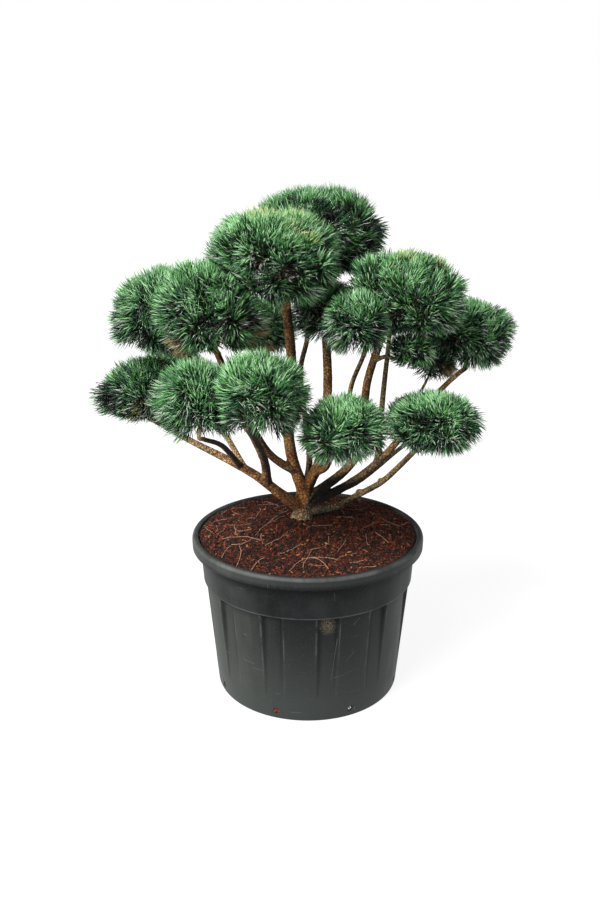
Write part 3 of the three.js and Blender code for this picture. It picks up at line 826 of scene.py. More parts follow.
BOUGHS = (
    Limb("bough_top_front", "trunk", 0.8, (0.0155, 0.0115),
         ((-0.038, 0.036, 0.593), (-0.050, 0.029, 0.680), (-0.041, 0.005, 0.860),
          (-0.052, -0.030, 0.996)), (1.0, 0.55)),
    Limb("bough_top_rear", "trunk", 0.84, (0.014, 0.01),
         ((0.038, 0.046, 0.612), (0.051, 0.068, 0.774), (0.047, 0.092, 0.895),
          (0.033, 0.152, 1.052)), (0.9, 0.3)),
    Limb("bough_left", "trunk", 0.3, (0.015, 0.0065),
         ((-0.074, 0.006, 0.518), (-0.135, 0.000, 0.569), (-0.212, 0.014, 0.609),
          (-0.300, 0.040, 0.647), (-0.396, 0.076, 0.690)), (0.85, 0.15)),
    Limb("bough_right", "trunk", 0.55, (0.013, 0.0095),
         ((0.053, 0.050, 0.526), (0.099, 0.055, 0.564), (0.134, 0.054, 0.620),
          (0.149, 0.028, 0.804), (0.174, -0.004, 0.910)), (0.3, 0.7)),
    Limb("bough_far_right", "trunk", 0.36, (0.013, 0.0065),
         ((0.118, 0.070, 0.525), (0.208, 0.096, 0.594), (0.300, 0.122, 0.706),
          (0.368, 0.134, 0.778), (0.402, 0.138, 0.808)), (0.2, 0.75)),
    Limb("bough_low_right", "trunk", 0.18, (0.0095, 0.007),
         ((0.078, 0.041, 0.468), (0.128, 0.029, 0.502), (0.187, 0.004, 0.546),
          (0.228, -0.028, 0.599), (0.256, -0.062, 0.645)), (0.35, 0.4)),
    Limb("bough_rear_centre", "trunk", 0.75, (0.009, 0.0065),
         ((0.005, 0.074, 0.590), (-0.019, 0.090, 0.818), (-0.003, 0.112, 0.892)), (0.2, 0.1)),
    Limb("bough_rear_low_right", "trunk", 0.4, (0.01, 0.006),
         ((0.075, 0.080, 0.494), (0.138, 0.130, 0.506), (0.262, 0.240, 0.566)), (0.3, 0.3)),
    Limb("bough_low_front", "bough_left", 0.27, (0.0115, 0.008),
         ((-0.108, -0.034, 0.612), (-0.128, -0.100, 0.690), (-0.140, -0.196, 0.748)), (0.6, 0.4)),
    Limb("bough_low_left", "bough_left", 0.45, (0.008, 0.0055),
         ((-0.209, -0.090, 0.674), (-0.244, -0.192, 0.722)), (0.5, 0.4)),
    Limb("bough_rear_left", "bough_left", 0.42, (0.008, 0.0055),
         ((-0.228, 0.130, 0.646), (-0.334, 0.258, 0.682)), (0.5, 0.4)),
    Limb("bough_left_inner", "bough_top_front", 0.13, (0.0105, 0.008),
         ((-0.069, 0.020, 0.594), (-0.104, 0.004, 0.632), (-0.176, -0.048, 0.790),
          (-0.216, -0.074, 0.898)), (0.5, 0.85)),
    Limb("bough_left_outer", "bough_left_inner", 0.62, (0.0075, 0.0055),
         ((-0.246, -0.022, 0.850), (-0.326, 0.026, 0.880)), (0.5, 0.5)),
    Limb("bough_rear_top", "bough_top_front", 0.36, (0.0075, 0.0055),
         ((-0.076, 0.110, 0.762), (-0.100, 0.206, 0.816)), (0.4, 0.3)),
    Limb("bough_low_centre", "bough_top_rear", 0.1, (0.009, 0.0065),
         ((0.044, -0.020, 0.594), (0.054, -0.084, 0.640), (0.068, -0.160, 0.688)), (0.8, 0.6)),
    Limb("bough_right_inner", "bough_right", 0.36, (0.0075, 0.0055),
         ((0.104, 0.000, 0.780), (0.132, -0.078, 0.898)), (0.2, 0.4)),
    Limb("bough_right_under", "bough_right", 0.9, (0.0055, 0.0045),
         ((0.190, -0.016, 0.880), (0.204, -0.030, 0.880)), (0.3, 0.2)),
    Limb("bough_rear_right", "bough_far_right", 0.42, (0.0085, 0.0065),
         ((0.200, 0.140, 0.740), (0.218, 0.214, 0.860)), (0.1, 0.2)),
    Limb("bough_far_right_inner", "bough_far_right", 0.62, (0.0045, 0.0038),
         ((0.288, 0.112, 0.742), (0.306, 0.104, 0.786)), (0.2, 0.2)),
)


@dataclass(frozen=True)
class Cushion:
    """A mass of foliage, with its bough, its middle and its reach to the side, to the front, up and down."""

    name: str
    bough: str
    middle: Place
    reach: tuple[float, float, float, float]
    square: float = 2.0
    belly: float = 2.8

    def reach_towards(self, directions: np.ndarray) -> np.ndarray:
        """Returns how far the cushion reaches from its middle in some directions.

        Args:
            directions: The directions, at length 1.

        Returns:
            The distance for each direction.
        """
        side, front, up, low = self.reach
        across = np.hypot(directions[..., 0] / side, directions[..., 1] / front)
        rising = directions[..., 2] > 0
        along = np.abs(directions[..., 2]) / np.where(rising, up, low)
        square = np.where(rising, self.square, max(self.square, self.belly))
        return 1 / (across ** square + along ** square) ** (1 / square)

    def depth(self, points: np.ndarray) -> np.ndarray:
        """Returns how deep points lie: 0 at the middle and 1 at the reach.

        Args:
            points: The points.

        Returns:
            The depth of each point.
        """
        out = points - np.array(self.middle)
        distance = np.linalg.norm(out, axis=-1)
        return distance / self.reach_towards(unit(out))


CUSHIONS = (
    Cushion("foliage_top_front", "bough_top_front", (-0.084, -0.040, 1.117),
            (0.194, 0.178, 0.134, 0.128), 2.2),
    Cushion("foliage_top_rear", "bough_top_rear", (0.023, 0.180, 1.157), (0.203, 0.184, 0.138, 0.120), 2.25),
    Cushion("foliage_left_inner", "bough_left_inner", (-0.220, -0.090, 1.004),
            (0.162, 0.148, 0.142, 0.120), 2.4),
    Cushion("foliage_left_outer", "bough_left_outer", (-0.362, 0.060, 0.968),
            (0.157, 0.150, 0.148, 0.116), 1.75),
    Cushion("foliage_right", "bough_right", (0.228, -0.020, 1.018), (0.176, 0.162, 0.139, 0.104), 2.5),
    Cushion("foliage_right_inner", "bough_right_inner", (0.112, -0.116, 0.984),
            (0.104, 0.098, 0.092, 0.102)),
    Cushion("foliage_right_under", "bough_right_under", (0.245, -0.062, 0.908),
            (0.080, 0.074, 0.062, 0.066)),
    Cushion("foliage_far_right", "bough_far_right", (0.409, 0.138, 0.912), (0.154, 0.138, 0.108, 0.112)),
    Cushion("foliage_far_right_inner", "bough_far_right_inner", (0.328, 0.096, 0.850),
            (0.084, 0.078, 0.066, 0.080)),
    Cushion("foliage_low_left_outer", "bough_left", (-0.415, 0.080, 0.768),
            (0.168, 0.148, 0.114, 0.084), 1.6),
    Cushion("foliage_low_left", "bough_low_left", (-0.244, -0.226, 0.824), (0.132, 0.116, 0.114, 0.112)),
    Cushion("foliage_low_front", "bough_low_front", (-0.110, -0.256, 0.846), (0.138, 0.124, 0.114, 0.128)),
    Cushion("foliage_low_centre", "bough_low_centre", (0.080, -0.228, 0.761), (0.130, 0.116, 0.090, 0.100)),
    Cushion("foliage_low_right", "bough_low_right", (0.304, -0.090, 0.734), (0.142, 0.134, 0.093, 0.090)),
    Cushion("foliage_rear_left", "bough_rear_left", (-0.372, 0.296, 0.770), (0.122, 0.118, 0.094, 0.088)),
    Cushion("foliage_rear_top", "bough_rear_top", (-0.123, 0.250, 0.905), (0.130, 0.120, 0.108, 0.088)),
    Cushion("foliage_under_top", "bough_rear_centre", (0.047, 0.104, 0.988), (0.112, 0.095, 0.084, 0.110)),
    Cushion("foliage_rear_right", "bough_rear_right", (0.255, 0.300, 0.946), (0.134, 0.126, 0.120, 0.092)),
    Cushion("foliage_rear_low_right", "bough_rear_low_right", (0.318, 0.280, 0.640),
            (0.122, 0.116, 0.090, 0.074)),
)


@dataclass
class Skeleton:
    """All limbs with their routes, and the stem that each cushion grows from."""

    spacing: float = 0.004
    clearance: float = 0.0015
    stem_bend: float = 0.22
    stem_taper: float = 0.3
    fork: float = 0.42
    routes: dict[str, Route] = field(default_factory=dict)

    def __post_init__(self) -> None:
        """Lays out the routes, and samples all limbs closely."""
        self.routes["trunk"] = Route.through([TRUNK_FOOT, *(TRUNK_FOOT + np.array(b) for b in TRUNK.bends)])
        for bough in BOUGHS:
            start = self.routes[bough.parent].at(bough.share)
            self.routes[bough.name] = Route.through([start, *bough.bends])
        self.limbs = {limb.name: limb for limb in (TRUNK, *BOUGHS)}
        self.stems = {cushion.name: self._stem(cushion) for cushion in CUSHIONS}
        self._sample()

    def _stem(self, cushion: Cushion) -> Route:
        """Returns the route on which a bough's tip goes on into its cushion.

        Args:
            cushion: The cushion.

        Returns:
            The stem's route.
        """
        route = self.routes[cushion.bough]
        foot = route.at(1.0)
        middle = np.array(cushion.middle)
        bend = foot + route.heading() * np.linalg.norm(middle - foot) * self.stem_bend
        return Route.through([foot, bend, (foot + middle) / 2])

    def _sample(self) -> None:
        """Keeps a close row of places and radii along every limb."""
        places, radii, owners, shares = [], [], [], []
        for number, (name, limb) in enumerate(self.limbs.items()):
            route = self.routes[name]
            marks = np.linspace(0, 1, max(4, round(route.length / self.spacing)))
            places.append(route.at(marks))
            radii.append(limb.radius_at(marks, route.length))
            owners.append(np.full(len(marks), number))
            shares.append(marks)
        self.places = np.concatenate(places)
        self.radii = np.concatenate(radii)
        self.owners = np.concatenate(owners)
        self.shares = np.concatenate(shares)

    def clear(self, starts: np.ndarray, ends: np.ndarray, cushion: Cushion,
              extra: float = 0.0) -> np.ndarray:
        """Says which straight needles or twigs of a cushion stay clear of every limb.

        Args:
            starts: One end of each.
            ends: The other end of each.
            cushion: The cushion that they grow in.
            extra: Their own thickness.

        Returns:
            True for each that is clear.
        """
        from_middle = np.linalg.norm(self.places - np.array(cushion.middle), axis=1)
        near = from_middle < max(cushion.reach) + 0.03
        own_tip = (self.owners == list(self.limbs).index(cushion.bough)) & (self.shares > 0.93)
        kept = near & ~own_tip
        along = ends - starts
        squares = np.maximum((along ** 2).sum(axis=1), 1e-12)
        free = np.ones(len(starts), bool)
        for place, radius in zip(self.places[kept], self.radii[kept]):
            share = np.clip(((place - starts) * along).sum(axis=1) / squares, 0, 1)
            away = np.linalg.norm(starts + along * share[:, None] - place, axis=1)
            free &= away > radius + self.clearance + extra
        return free


def in_space(cushion: Cushion, points: np.ndarray, gap: float = 0.035) -> np.ndarray:
    """Says which points are in a cushion's own space, which ends half way to its neighbours.

    Args:
        cushion: The cushion.
        points: The points.
        gap: How much deeper than in any neighbour a point has to be.

    Returns:
        True for each point that is in the space.
    """
    own = cushion.depth(points)
    inside = own <= 1.001
    for other in CUSHIONS:
        if other is not cushion:
            inside &= other.depth(points) > own + gap
    return inside


@dataclass
class Twigs:
    """Twigs that are gathered as tapering tubes and joined into one mesh."""

    sides: int = 5
    starts: list[np.ndarray] = field(default_factory=list)
    ends: list[np.ndarray] = field(default_factory=list)
    thick: list[float] = field(default_factory=list)
    thin: list[float] = field(default_factory=list)
    bows: list[np.ndarray] = field(default_factory=list)

    def add(self, start: np.ndarray, end: np.ndarray, thick: float, thin: float, bow: np.ndarray) -> None:
        """Adds a twig that bows to one side half way.

        Args:
            start: Where it starts.
            end: Where it ends.
            thick: Its radius at the start.
            thin: Its radius at the end.
            bow: How far it bows, and which way.
        """
        self.starts.append(start)
        self.ends.append(end)
        self.thick.append(thick)
        self.thin.append(thin)
        self.bows.append(bow)

    def mesh(self, name: str) -> bpy.types.Object:
        """Returns all twigs as one object.

        Args:
            name: The object's name.

        Returns:
            The object.
        """
        starts, ends, bows = np.array(self.starts), np.array(self.ends), np.array(self.bows)
        thick, thin = np.array(self.thick), np.array(self.thin)
        side, other = sides_of(unit(ends - starts))
        angles = np.arange(self.sides) * 2 * math.pi / self.sides
        around = side[:, None] * np.cos(angles)[:, None] + other[:, None] * np.sin(angles)[:, None]
        rows = []
        for share in (0.0, 0.5, 1.0):
            middle = starts + (ends - starts) * share + bows * (4 * share * (1 - share))
            radius = thick + (thin - thick) * share
            rows.append(middle[:, None] + around * radius[:, None, None])
        tips = np.stack([starts, ends], axis=1)
        points = np.concatenate([*rows, tips], axis=1)
        faces = []
        count = self.sides
        for i in range(count):
            j = (i + 1) % count
            for row in (0, count):
                faces.append((row + i, row + j, row + count + j))
                faces.append((row + i, row + count + j, row + count + i))
            faces += [(3 * count, j, i), (3 * count + 1, 2 * count + i, 2 * count + j)]
        corners = 3 * count + 2
        all_faces = np.array(faces)[None] + (np.arange(len(starts)) * corners)[:, None, None]
        return Workshop.from_arrays(name, points.reshape(-1, 3), all_faces.reshape(-1, 3))


@dataclass(frozen=True)
class Shoot:
    """The last length of a twig, with the number of its cushion and the direction that it looks in.

    "short" is how far inside the cushion's reach it ends, and "dip" how deep it lies between two lumps.
    """

    root: np.ndarray
    tip: np.ndarray
    cushion: int
    outlook: np.ndarray
    short: float
    dip: float


class Tone(Enum):
    """The needles' plain colours as finishes, from the darkest to the palest, and last the dead ones'."""

    SHADE = PlainFinish("needles_shade", "060d09")
    DEEP = PlainFinish("needles_deep", "20432a")
    BLUE = PlainFinish("needles_blue", "467a54")
    GREEN = PlainFinish("needles_green", "4d8f4a")
    LEAF = PlainFinish("needles_leaf", "6bab5b")
    MINT = PlainFinish("needles_mint", "aadca2")
    LIME = PlainFinish("needles_lime", "ccdd94")
    GREY = PlainFinish("needles_grey", "c3cdbf")
    STRAW = PlainFinish("needles_straw", "a58a58")


@dataclass
class Foliage:
    """The cushions of foliage: twigs that fork by halves from each stem, shoots and pairs of needles."""

    skeleton: Skeleton
    shoot_cell: float = 0.0021
    shoot_length: float = 0.046
    lump_cell: float = 0.0085
    lump_dip: float = 0.012
    lump_lean: float = 1.1
    lump_tilt: float = 0.3
    lump_stray: float = 0.16
    lump_spread: float = 5.5
    side_share: float = 0.42
    lowest: float = -0.86
    thin_below: float = -0.4
    thinning: float = 1.2
    wander: float = 0.08
    lift: float = 0.55
    least_lift: float = 0.1
    stray: float = 0.25
    first_draw: float = 0.12
    draw_step: float = 0.14
    draw_range: float = 0.9
    needle_inside: float = 0.88
    most_needle: float = 0.5
    most_shoot: float = 0.42
    unevenness: float = 0.010
    fringe: float = 0.020
    needle: float = 0.048
    needle_width: float = 0.0020
    needle_bow: float = 0.07
    needle_bow_aside: float = 0.02
    widest: float = 0.6
    splay: tuple[float, float] = (60.0, 16.0)
    # Painted shade: tone steps darker towards a shoot's root, deep in the cushion, and in the dips between
    # lumps.
    drop_shares: tuple[float, ...] = (0.45, 0.8, 1.0)
    drops: tuple[float, ...] = (3.4, 1.0, 0.0)
    dip_drop: float = 1.2
    tone_spread: tuple[float, float] = (0.5, 1.8)
    pale_share: float = 0.12
    pale_below: float = 0.35
    pairs: int = 40
    most_in_piece: int = 30000
    twig_radius: float = 0.00105
    twig_fork: float = 0.45
    sway: float = 0.12
    # Painted light and shade by cushion: lime tops for the sunny ones, and tone steps paler for cushions in
    # the light and darker for those in the shade of others.
    sunny: tuple[str, ...] = ("foliage_top_front", "foliage_right")
    painted_light_by_cushion: dict[str, float] = field(default_factory=lambda: {
        "foliage_top_front": 1.0, "foliage_left_inner": 0.6, "foliage_low_front": 0.4,
        "foliage_low_centre": 0.7, "foliage_low_right": 0.6, "foliage_right": 0.3,
        "foliage_top_rear": -0.6, "foliage_low_left_outer": -1.0})
    dry: tuple[str, ...] = ("foliage_left_inner", "foliage_left_outer")
    dry_reach: float = 0.10
    twigs: Twigs = field(default_factory=Twigs)
    young: Twigs = field(default_factory=lambda: Twigs(sides=4))

    def build(self) -> None:
        """Grows every cushion and makes the meshes."""
        nodes = [cushion.name for cushion in CUSHIONS]
        shoots = []
        for number, cushion in enumerate(CUSHIONS):
            luck = np.random.default_rng(SEED + 97 * number)
            grown = self._shoots(cushion, number, luck)
            stem = self.skeleton.stems[cushion.name]
            fork = stem.at(self.skeleton.fork)
            thick = self.skeleton.limbs[cushion.bough].radii[1]
            kept = self._fork(fork, grown, thick * 0.7, cushion, luck)
            shoots += kept
            LOG.info("%s: %d shoots of %d", cushion.name, len(kept), len(grown))
        Workshop.dress(self.twigs.mesh("twigs"), PlainFinish("twig_bark", "6b5236", 0.85), Slot.BARK, nodes)
        young_bark = PlainFinish("young_bark", "80683f", 0.8)
        Workshop.dress(self.young.mesh("young_twigs"), young_bark, Slot.BARK, nodes)
        self._needles(shoots, nodes)

    def _shoots(self, cushion: Cushion, number: int, luck: np.random.Generator) -> list[Shoot]:
        """Returns a cushion's shoots, on a spiral from its top to its underside, drawn in until they fit.

        Args:
            cushion: The cushion.
            number: The cushion's number.
            luck: Random numbers.

        Returns:
            The shoots.
        """
        side, front, up, low = cushion.reach
        area = 2 * math.pi * (side * front + (side + front) / 2 * (up + low) * self.side_share)
        count = round(area / self.shoot_cell)
        start = luck.random() * 2 * math.pi
        lumps = self._lumps(round(area / self.lump_cell), luck)
        found = []
        for i in range(count):
            height = 1 - (1 - self.lowest) * (i + 0.5) / count
            if height < self.thin_below and luck.random() < (self.thin_below - height) * self.thinning:
                continue
            flat = math.sqrt(1 - height * height)
            angle = start + i * GOLDEN_ANGLE
            outlook = np.array((flat * math.cos(angle), flat * math.sin(angle), height))
            outlook = unit(outlook + luck.normal(0, self.wander, 3))
            shoot = self._fitted(cushion, number, outlook, lumps, luck)
            if shoot:
                found.append(shoot)
        return found

    def _lumps(self, count: int, luck: np.random.Generator) -> tuple[np.ndarray, np.ndarray]:
        """Spreads a cushion's lumps over all its sides.

        Args:
            count: How many lumps it has.
            luck: Random numbers.

        Returns:
            The direction in which each lump lies, and the way that its shoots lean.
        """
        marks = np.arange(count) + 0.5
        height = 1 - 2 * marks / count
        angle = luck.random() * 2 * math.pi + marks * GOLDEN_ANGLE
        flat = np.sqrt(1 - height ** 2)
        spread = np.stack([flat * np.cos(angle), flat * np.sin(angle), height], axis=1)
        lumps = unit(spread + luck.normal(0, self.lump_stray, spread.shape))
        return lumps, luck.normal(0, self.lump_tilt, spread.shape)

    def _fitted(self, cushion: Cushion, number: int, outlook: np.ndarray,
                lumps: tuple[np.ndarray, np.ndarray], luck: np.random.Generator) -> Shoot | None:
        """Returns a shoot that is drawn in until it is in its cushion's space and clear of the limbs.

        Args:
            cushion: The cushion that it grows in.
            number: The cushion's number.
            outlook: The direction in which it lies from the cushion's middle.
            lumps: The directions and the leans of the cushion's lumps.
            luck: Random numbers.

        Returns:
            The shoot, or None where none fits.
        """
        places, leans = lumps
        nearest = np.argmin(np.linalg.norm(places - outlook, axis=1))
        away = outlook - places[nearest]
        dip = min(1.0, float((away ** 2).sum()) * len(places) / self.lump_spread)
        lift = self.lift * min(1.0, max(self.least_lift, self.lift + outlook[2]))
        lean = away * self.lump_lean + leans[nearest] + luck.normal(0, self.stray, 3)
        axis = unit(outlook + lean + UP * lift)
        short = luck.random() ** 1.5 * self.unevenness + dip * self.lump_dip
        reach = float(cushion.reach_towards(outlook)) - short
        length = min(self.needle, reach * self.most_needle)
        shoot_length = min(self.shoot_length, reach * self.most_shoot)
        first = luck.random() * self.first_draw
        for drawn in np.arange(first, first + self.draw_range, self.draw_step):
            tip = np.array(cushion.middle) + outlook * (reach - length * (self.needle_inside + drawn))
            root = tip - axis * shoot_length
            line = np.stack([root, tip])
            if in_space(cushion, line).all() and self.skeleton.clear(line[:1], line[1:], cushion, 0.002)[0]:
                return Shoot(root, tip, number, outlook, short, dip)
        return None

    def _fork(self, start: np.ndarray, shoots: list[Shoot], limit: float, cushion: Cushion,
              luck: np.random.Generator) -> list[Shoot]:
        """Grows twigs that fork by halves until each shoot has its own.

        Args:
            start: Where the twig leaves the one before it.
            shoots: The shoots that it has to reach.
            limit: The radius that it may not pass.
            cushion: The cushion that it grows in.
            luck: Random numbers.

        Returns:
            The shoots that were reached.
        """
        roots = np.array([shoot.root for shoot in shoots])
        middle = roots.mean(axis=0)
        alone = len(shoots) == 1
        thick = min(limit, self.twig_radius * len(shoots) ** 0.5 * 1.1)
        joint = start + (middle - start) * (1.0 if alone else self.twig_fork)
        sway = np.linalg.norm(joint - start) * self.sway
        bow = luck.normal(0, 0.5, 3) * sway
        if alone:
            if not self.skeleton.clear(start[None], joint[None], cushion, thick)[0]:
                return []
            self.twigs.add(start, joint, thick, thick * 0.9, bow)
            self._grow_shoot(shoots[0], thick * 0.9)
            return shoots
        for attempt in range(8):
            swayed = joint + luck.normal(0, 0.5, 3) * sway * (1 + attempt)
            if self.skeleton.clear(start[None], swayed[None], cushion, thick)[0]:
                break
        self.twigs.add(start, swayed, thick, thick * 0.8, bow * 0.5)
        axis = int(np.argmax(roots.var(axis=0)))
        order = np.argsort(roots[:, axis], kind="stable")
        half = math.ceil(len(order) / 2)
        kept = self._fork(swayed, [shoots[i] for i in order[:half]], thick, cushion, luck)
        return kept + self._fork(swayed, [shoots[i] for i in order[half:]], thick, cushion, luck)

    def _grow_shoot(self, shoot: Shoot, thick: float) -> None:
        """Adds a shoot's own wood, up to a bud just past its last needles."""
        heading = unit(shoot.tip - shoot.root)
        self.young.add(shoot.root, shoot.tip + heading * 0.004, thick, thick * 0.45, heading * 0)

    def _needles(self, shoots: list[Shoot], nodes: Sequence[str]) -> None:
        """Sets pairs of needles on every shoot, and joins them by colour.

        Args:
            shoots: The shoots.
            nodes: The CAD nodes that the needles replace.
        """
        luck = np.random.default_rng(SEED)
        tones = list(Tone)
        roots = np.array([shoot.root for shoot in shoots])
        tips = np.array([shoot.tip for shoot in shoots])
        spray_tones = np.array([tones.index(self._tone(shoot, luck)) for shoot in shoots])
        count = self.pairs
        share = np.linspace(0.0, 1.0, count)[None] ** 0.5 + luck.normal(0, 0.012, (len(shoots), count))
        base = roots[:, None] + (tips - roots)[:, None] * share[..., None]
        axis = unit(tips - roots)
        side, other = sides_of(axis)
        angle = luck.random((len(shoots), 1)) * 6.3 + np.arange(count)[None] * GOLDEN_ANGLE
        wide, narrow = self.splay
        splay = np.radians(wide - (wide - narrow) * np.clip(share, 0, 1)) + luck.normal(0, 0.15, share.shape)
        out = side[:, None] * np.cos(angle)[..., None] + other[:, None] * np.sin(angle)[..., None]
        aim = axis[:, None] * np.cos(splay)[..., None] + out * np.sin(splay)[..., None]
        across = np.cross(aim, out)
        length = self.needle * (0.86 + 0.22 * luck.random(share.shape))
        pair_tones = self._pair_tones(shoots, spray_tones, share, aim, luck)
        ends, bends = [], []
        for turn in (-1, 1):
            spread = turn * (0.11 + 0.1 * luck.random(share.shape))
            direction = unit(aim + across * spread[..., None] + luck.normal(0, 0.09, aim.shape))
            ends.append(base + direction * length[..., None])
            outwards, aside = length * self.needle_bow, turn * length * self.needle_bow_aside
            bends.append(unit(out) * outwards[..., None] + across * aside[..., None])
        starts = np.concatenate([base, base], axis=1)
        ends = np.concatenate(ends, axis=1)
        bends = np.concatenate(bends, axis=1)
        keys = np.concatenate([pair_tones, pair_tones], axis=1)
        ends, fits = self._fit_all(shoots, starts, ends, luck)
        LOG.info("needles: %d of %d fit", fits.sum(), fits.size)
        for number, tone in enumerate(tones):
            chosen = np.argwhere(fits & (keys == number))
            parts = math.ceil(len(chosen) / self.most_in_piece)
            for part in range(parts):
                rows = tuple(chosen[part::parts].T)
                name = f"{tone.value.name}_{part + 1}" if parts > 1 else tone.value.name
                piece = self._spikes(name, starts[rows], ends[rows], bends[rows], luck)
                Workshop.dress(piece, tone.value, Slot.NEEDLES, nodes)

    def _pair_tones(self, shoots: list[Shoot], spray_tones: np.ndarray, share: np.ndarray, aim: np.ndarray,
                    luck: np.random.Generator) -> np.ndarray:
        """Varies the colour of each pair of needles round its spray's own, with painted shade towards the
        shoot's root and in the dips between lumps, and painted light and shade by cushion.

        Args:
            shoots: The shoots.
            spray_tones: The number of each spray's own tone.
            share: How far along its shoot each pair sits.
            aim: The direction of each pair.
            luck: Random numbers.

        Returns:
            The number of each pair's tone.
        """
        tones = list(Tone)
        own = spray_tones[:, None]
        dips = np.array([shoot.dip for shoot in shoots])[:, None]
        light = np.array([self.painted_light_by_cushion.get(CUSHIONS[shoot.cushion].name, 0.0) for shoot in shoots])[:, None]
        # Painted shade towards the root and in the dips, less each cushion's painted light.
        drop = np.interp(share, self.drop_shares, self.drops) + dips * self.dip_drop - light
        shifted = own + np.rint(luck.normal(*self.tone_spread, share.shape) - drop)
        toned = np.clip(shifted, 0, np.maximum(own, tones.index(Tone.MINT)))
        toned = np.where(own == tones.index(Tone.STRAW), own, toned)
        pale = (luck.random(share.shape) < self.pale_share) & (aim[..., 2] < self.pale_below)
        return np.where(pale, tones.index(Tone.GREY), toned)

    def _fit_all(self, shoots: list[Shoot], starts: np.ndarray, ends: np.ndarray,
                 luck: np.random.Generator) -> tuple[np.ndarray, np.ndarray]:
        """Shortens every needle until it fits its cushion, and finds those that fit nowhere or touch a limb.

        Args:
            shoots: The shoots.
            starts: The foot of each needle, one row for each shoot.
            ends: The tip of each needle, in the same order.
            luck: Random numbers.

        Returns:
            The new tips, and whether each needle fits.
        """
        owners = np.array([shoot.cushion for shoot in shoots])
        fits = np.zeros(starts.shape[:2], bool)
        for number, cushion in enumerate(CUSHIONS):
            rows = np.flatnonzero(owners == number)
            from_here, to_here = starts[rows].reshape(-1, 3), ends[rows].reshape(-1, 3)
            slack = np.repeat([shoots[row].short for row in rows], starts.shape[1])
            slack = slack + self.fringe * luck.random(len(slack)) ** 1.4
            to_here, good = self._fitting(cushion, from_here, to_here, slack)
            good &= self.skeleton.clear(from_here, to_here, cushion)
            ends[rows] = to_here.reshape(starts[rows].shape)
            fits[rows] = good.reshape(len(rows), -1)
        return ends, fits

    @staticmethod
    def _fitting(cushion: Cushion, starts: np.ndarray, ends: np.ndarray,
                 slack: np.ndarray) -> tuple[np.ndarray, np.ndarray]:
        """Makes each needle the longest that still ends in the cushion's space.

        Args:
            cushion: The cushion that they grow in.
            starts: The foot of each needle.
            ends: The tip of each needle.
            slack: How far inside the reach each needle ends.

        Returns:
            The tips, and whether each is in the space.
        """
        tips = ends.copy()
        limit = 1 - slack / min(cushion.reach)
        good = np.zeros(len(tips), bool)
        for share in (1.22, 1.12, 1.03, 0.95, 0.87, 0.78, 0.68, 0.56):
            bad = np.flatnonzero(~good)
            tips[bad] = starts[bad] + (ends[bad] - starts[bad]) * share
            good[bad] = in_space(cushion, tips[bad], 0.0) & (cushion.depth(tips[bad]) < limit[bad])
        return tips, good

    def _tone(self, shoot: Shoot, luck: np.random.Generator) -> Tone:
        """Deals a spray its colour by how it looks up or down, and straw to some of those by the stem.

        Args:
            shoot: The shoot that carries the spray.
            luck: Random numbers.

        Returns:
            The spray's own colour, round which its needles vary.
        """
        height = shoot.outlook[2] + luck.normal(0, 0.2)
        chance = luck.random()
        name = CUSHIONS[shoot.cushion].name
        # Paler tones on top and darker ones underneath: partly the needles' own colour, partly painted
        # light.
        if height > 0.7:
            if name in self.sunny and chance < 0.6:
                return Tone.LIME
            return Tone.MINT if chance < 0.5 else Tone.LEAF
        if height > 0.5:
            return Tone.MINT if chance < 0.3 else Tone.LEAF
        if height > 0.15:
            return Tone.LEAF if chance < 0.6 else Tone.GREEN
        if height > -0.2:
            return Tone.GREEN if chance < 0.6 else Tone.BLUE
        from_stem = np.linalg.norm(shoot.root - self.skeleton.stems[name].points[0])
        if from_stem < self.dry_reach and chance < (0.4 if name in self.dry else 0.08):
            return Tone.STRAW
        return Tone.GREEN if chance > 0.7 else Tone.BLUE

    def _spikes(self, name: str, starts: np.ndarray, ends: np.ndarray, bends: np.ndarray,
                luck: np.random.Generator) -> bpy.types.Object:
        """Returns slim pointed needles, three-sided and widest past the middle, as one object.

        Args:
            name: The object's name.
            starts: The foot of each needle.
            ends: The tip of each needle.
            bends: How far each needle bows, and which way.
            luck: Random numbers.

        Returns:
            The object.
        """
        side, other = sides_of(unit(ends - starts))
        turn = luck.random(len(starts)) * 6.3
        rows = [starts]
        for i in range(3):
            angle = turn + i * 2 * math.pi / 3
            out = side * np.cos(angle)[:, None] + other * np.sin(angle)[:, None]
            middle = starts + (ends - starts) * self.widest + bends
            rows.append(middle + out * (self.needle_width / math.sqrt(3)))
        rows.append(ends)
        faces = np.array([(0, 2, 1), (0, 3, 2), (0, 1, 3), (4, 1, 2), (4, 2, 3), (4, 3, 1)])
        all_faces = faces[None] + (np.arange(len(starts)) * 5)[:, None, None]
        points = np.stack(rows, axis=1).reshape(-1, 3)
        return Workshop.from_arrays(name, points, all_faces.reshape(-1, 3))


# Wood


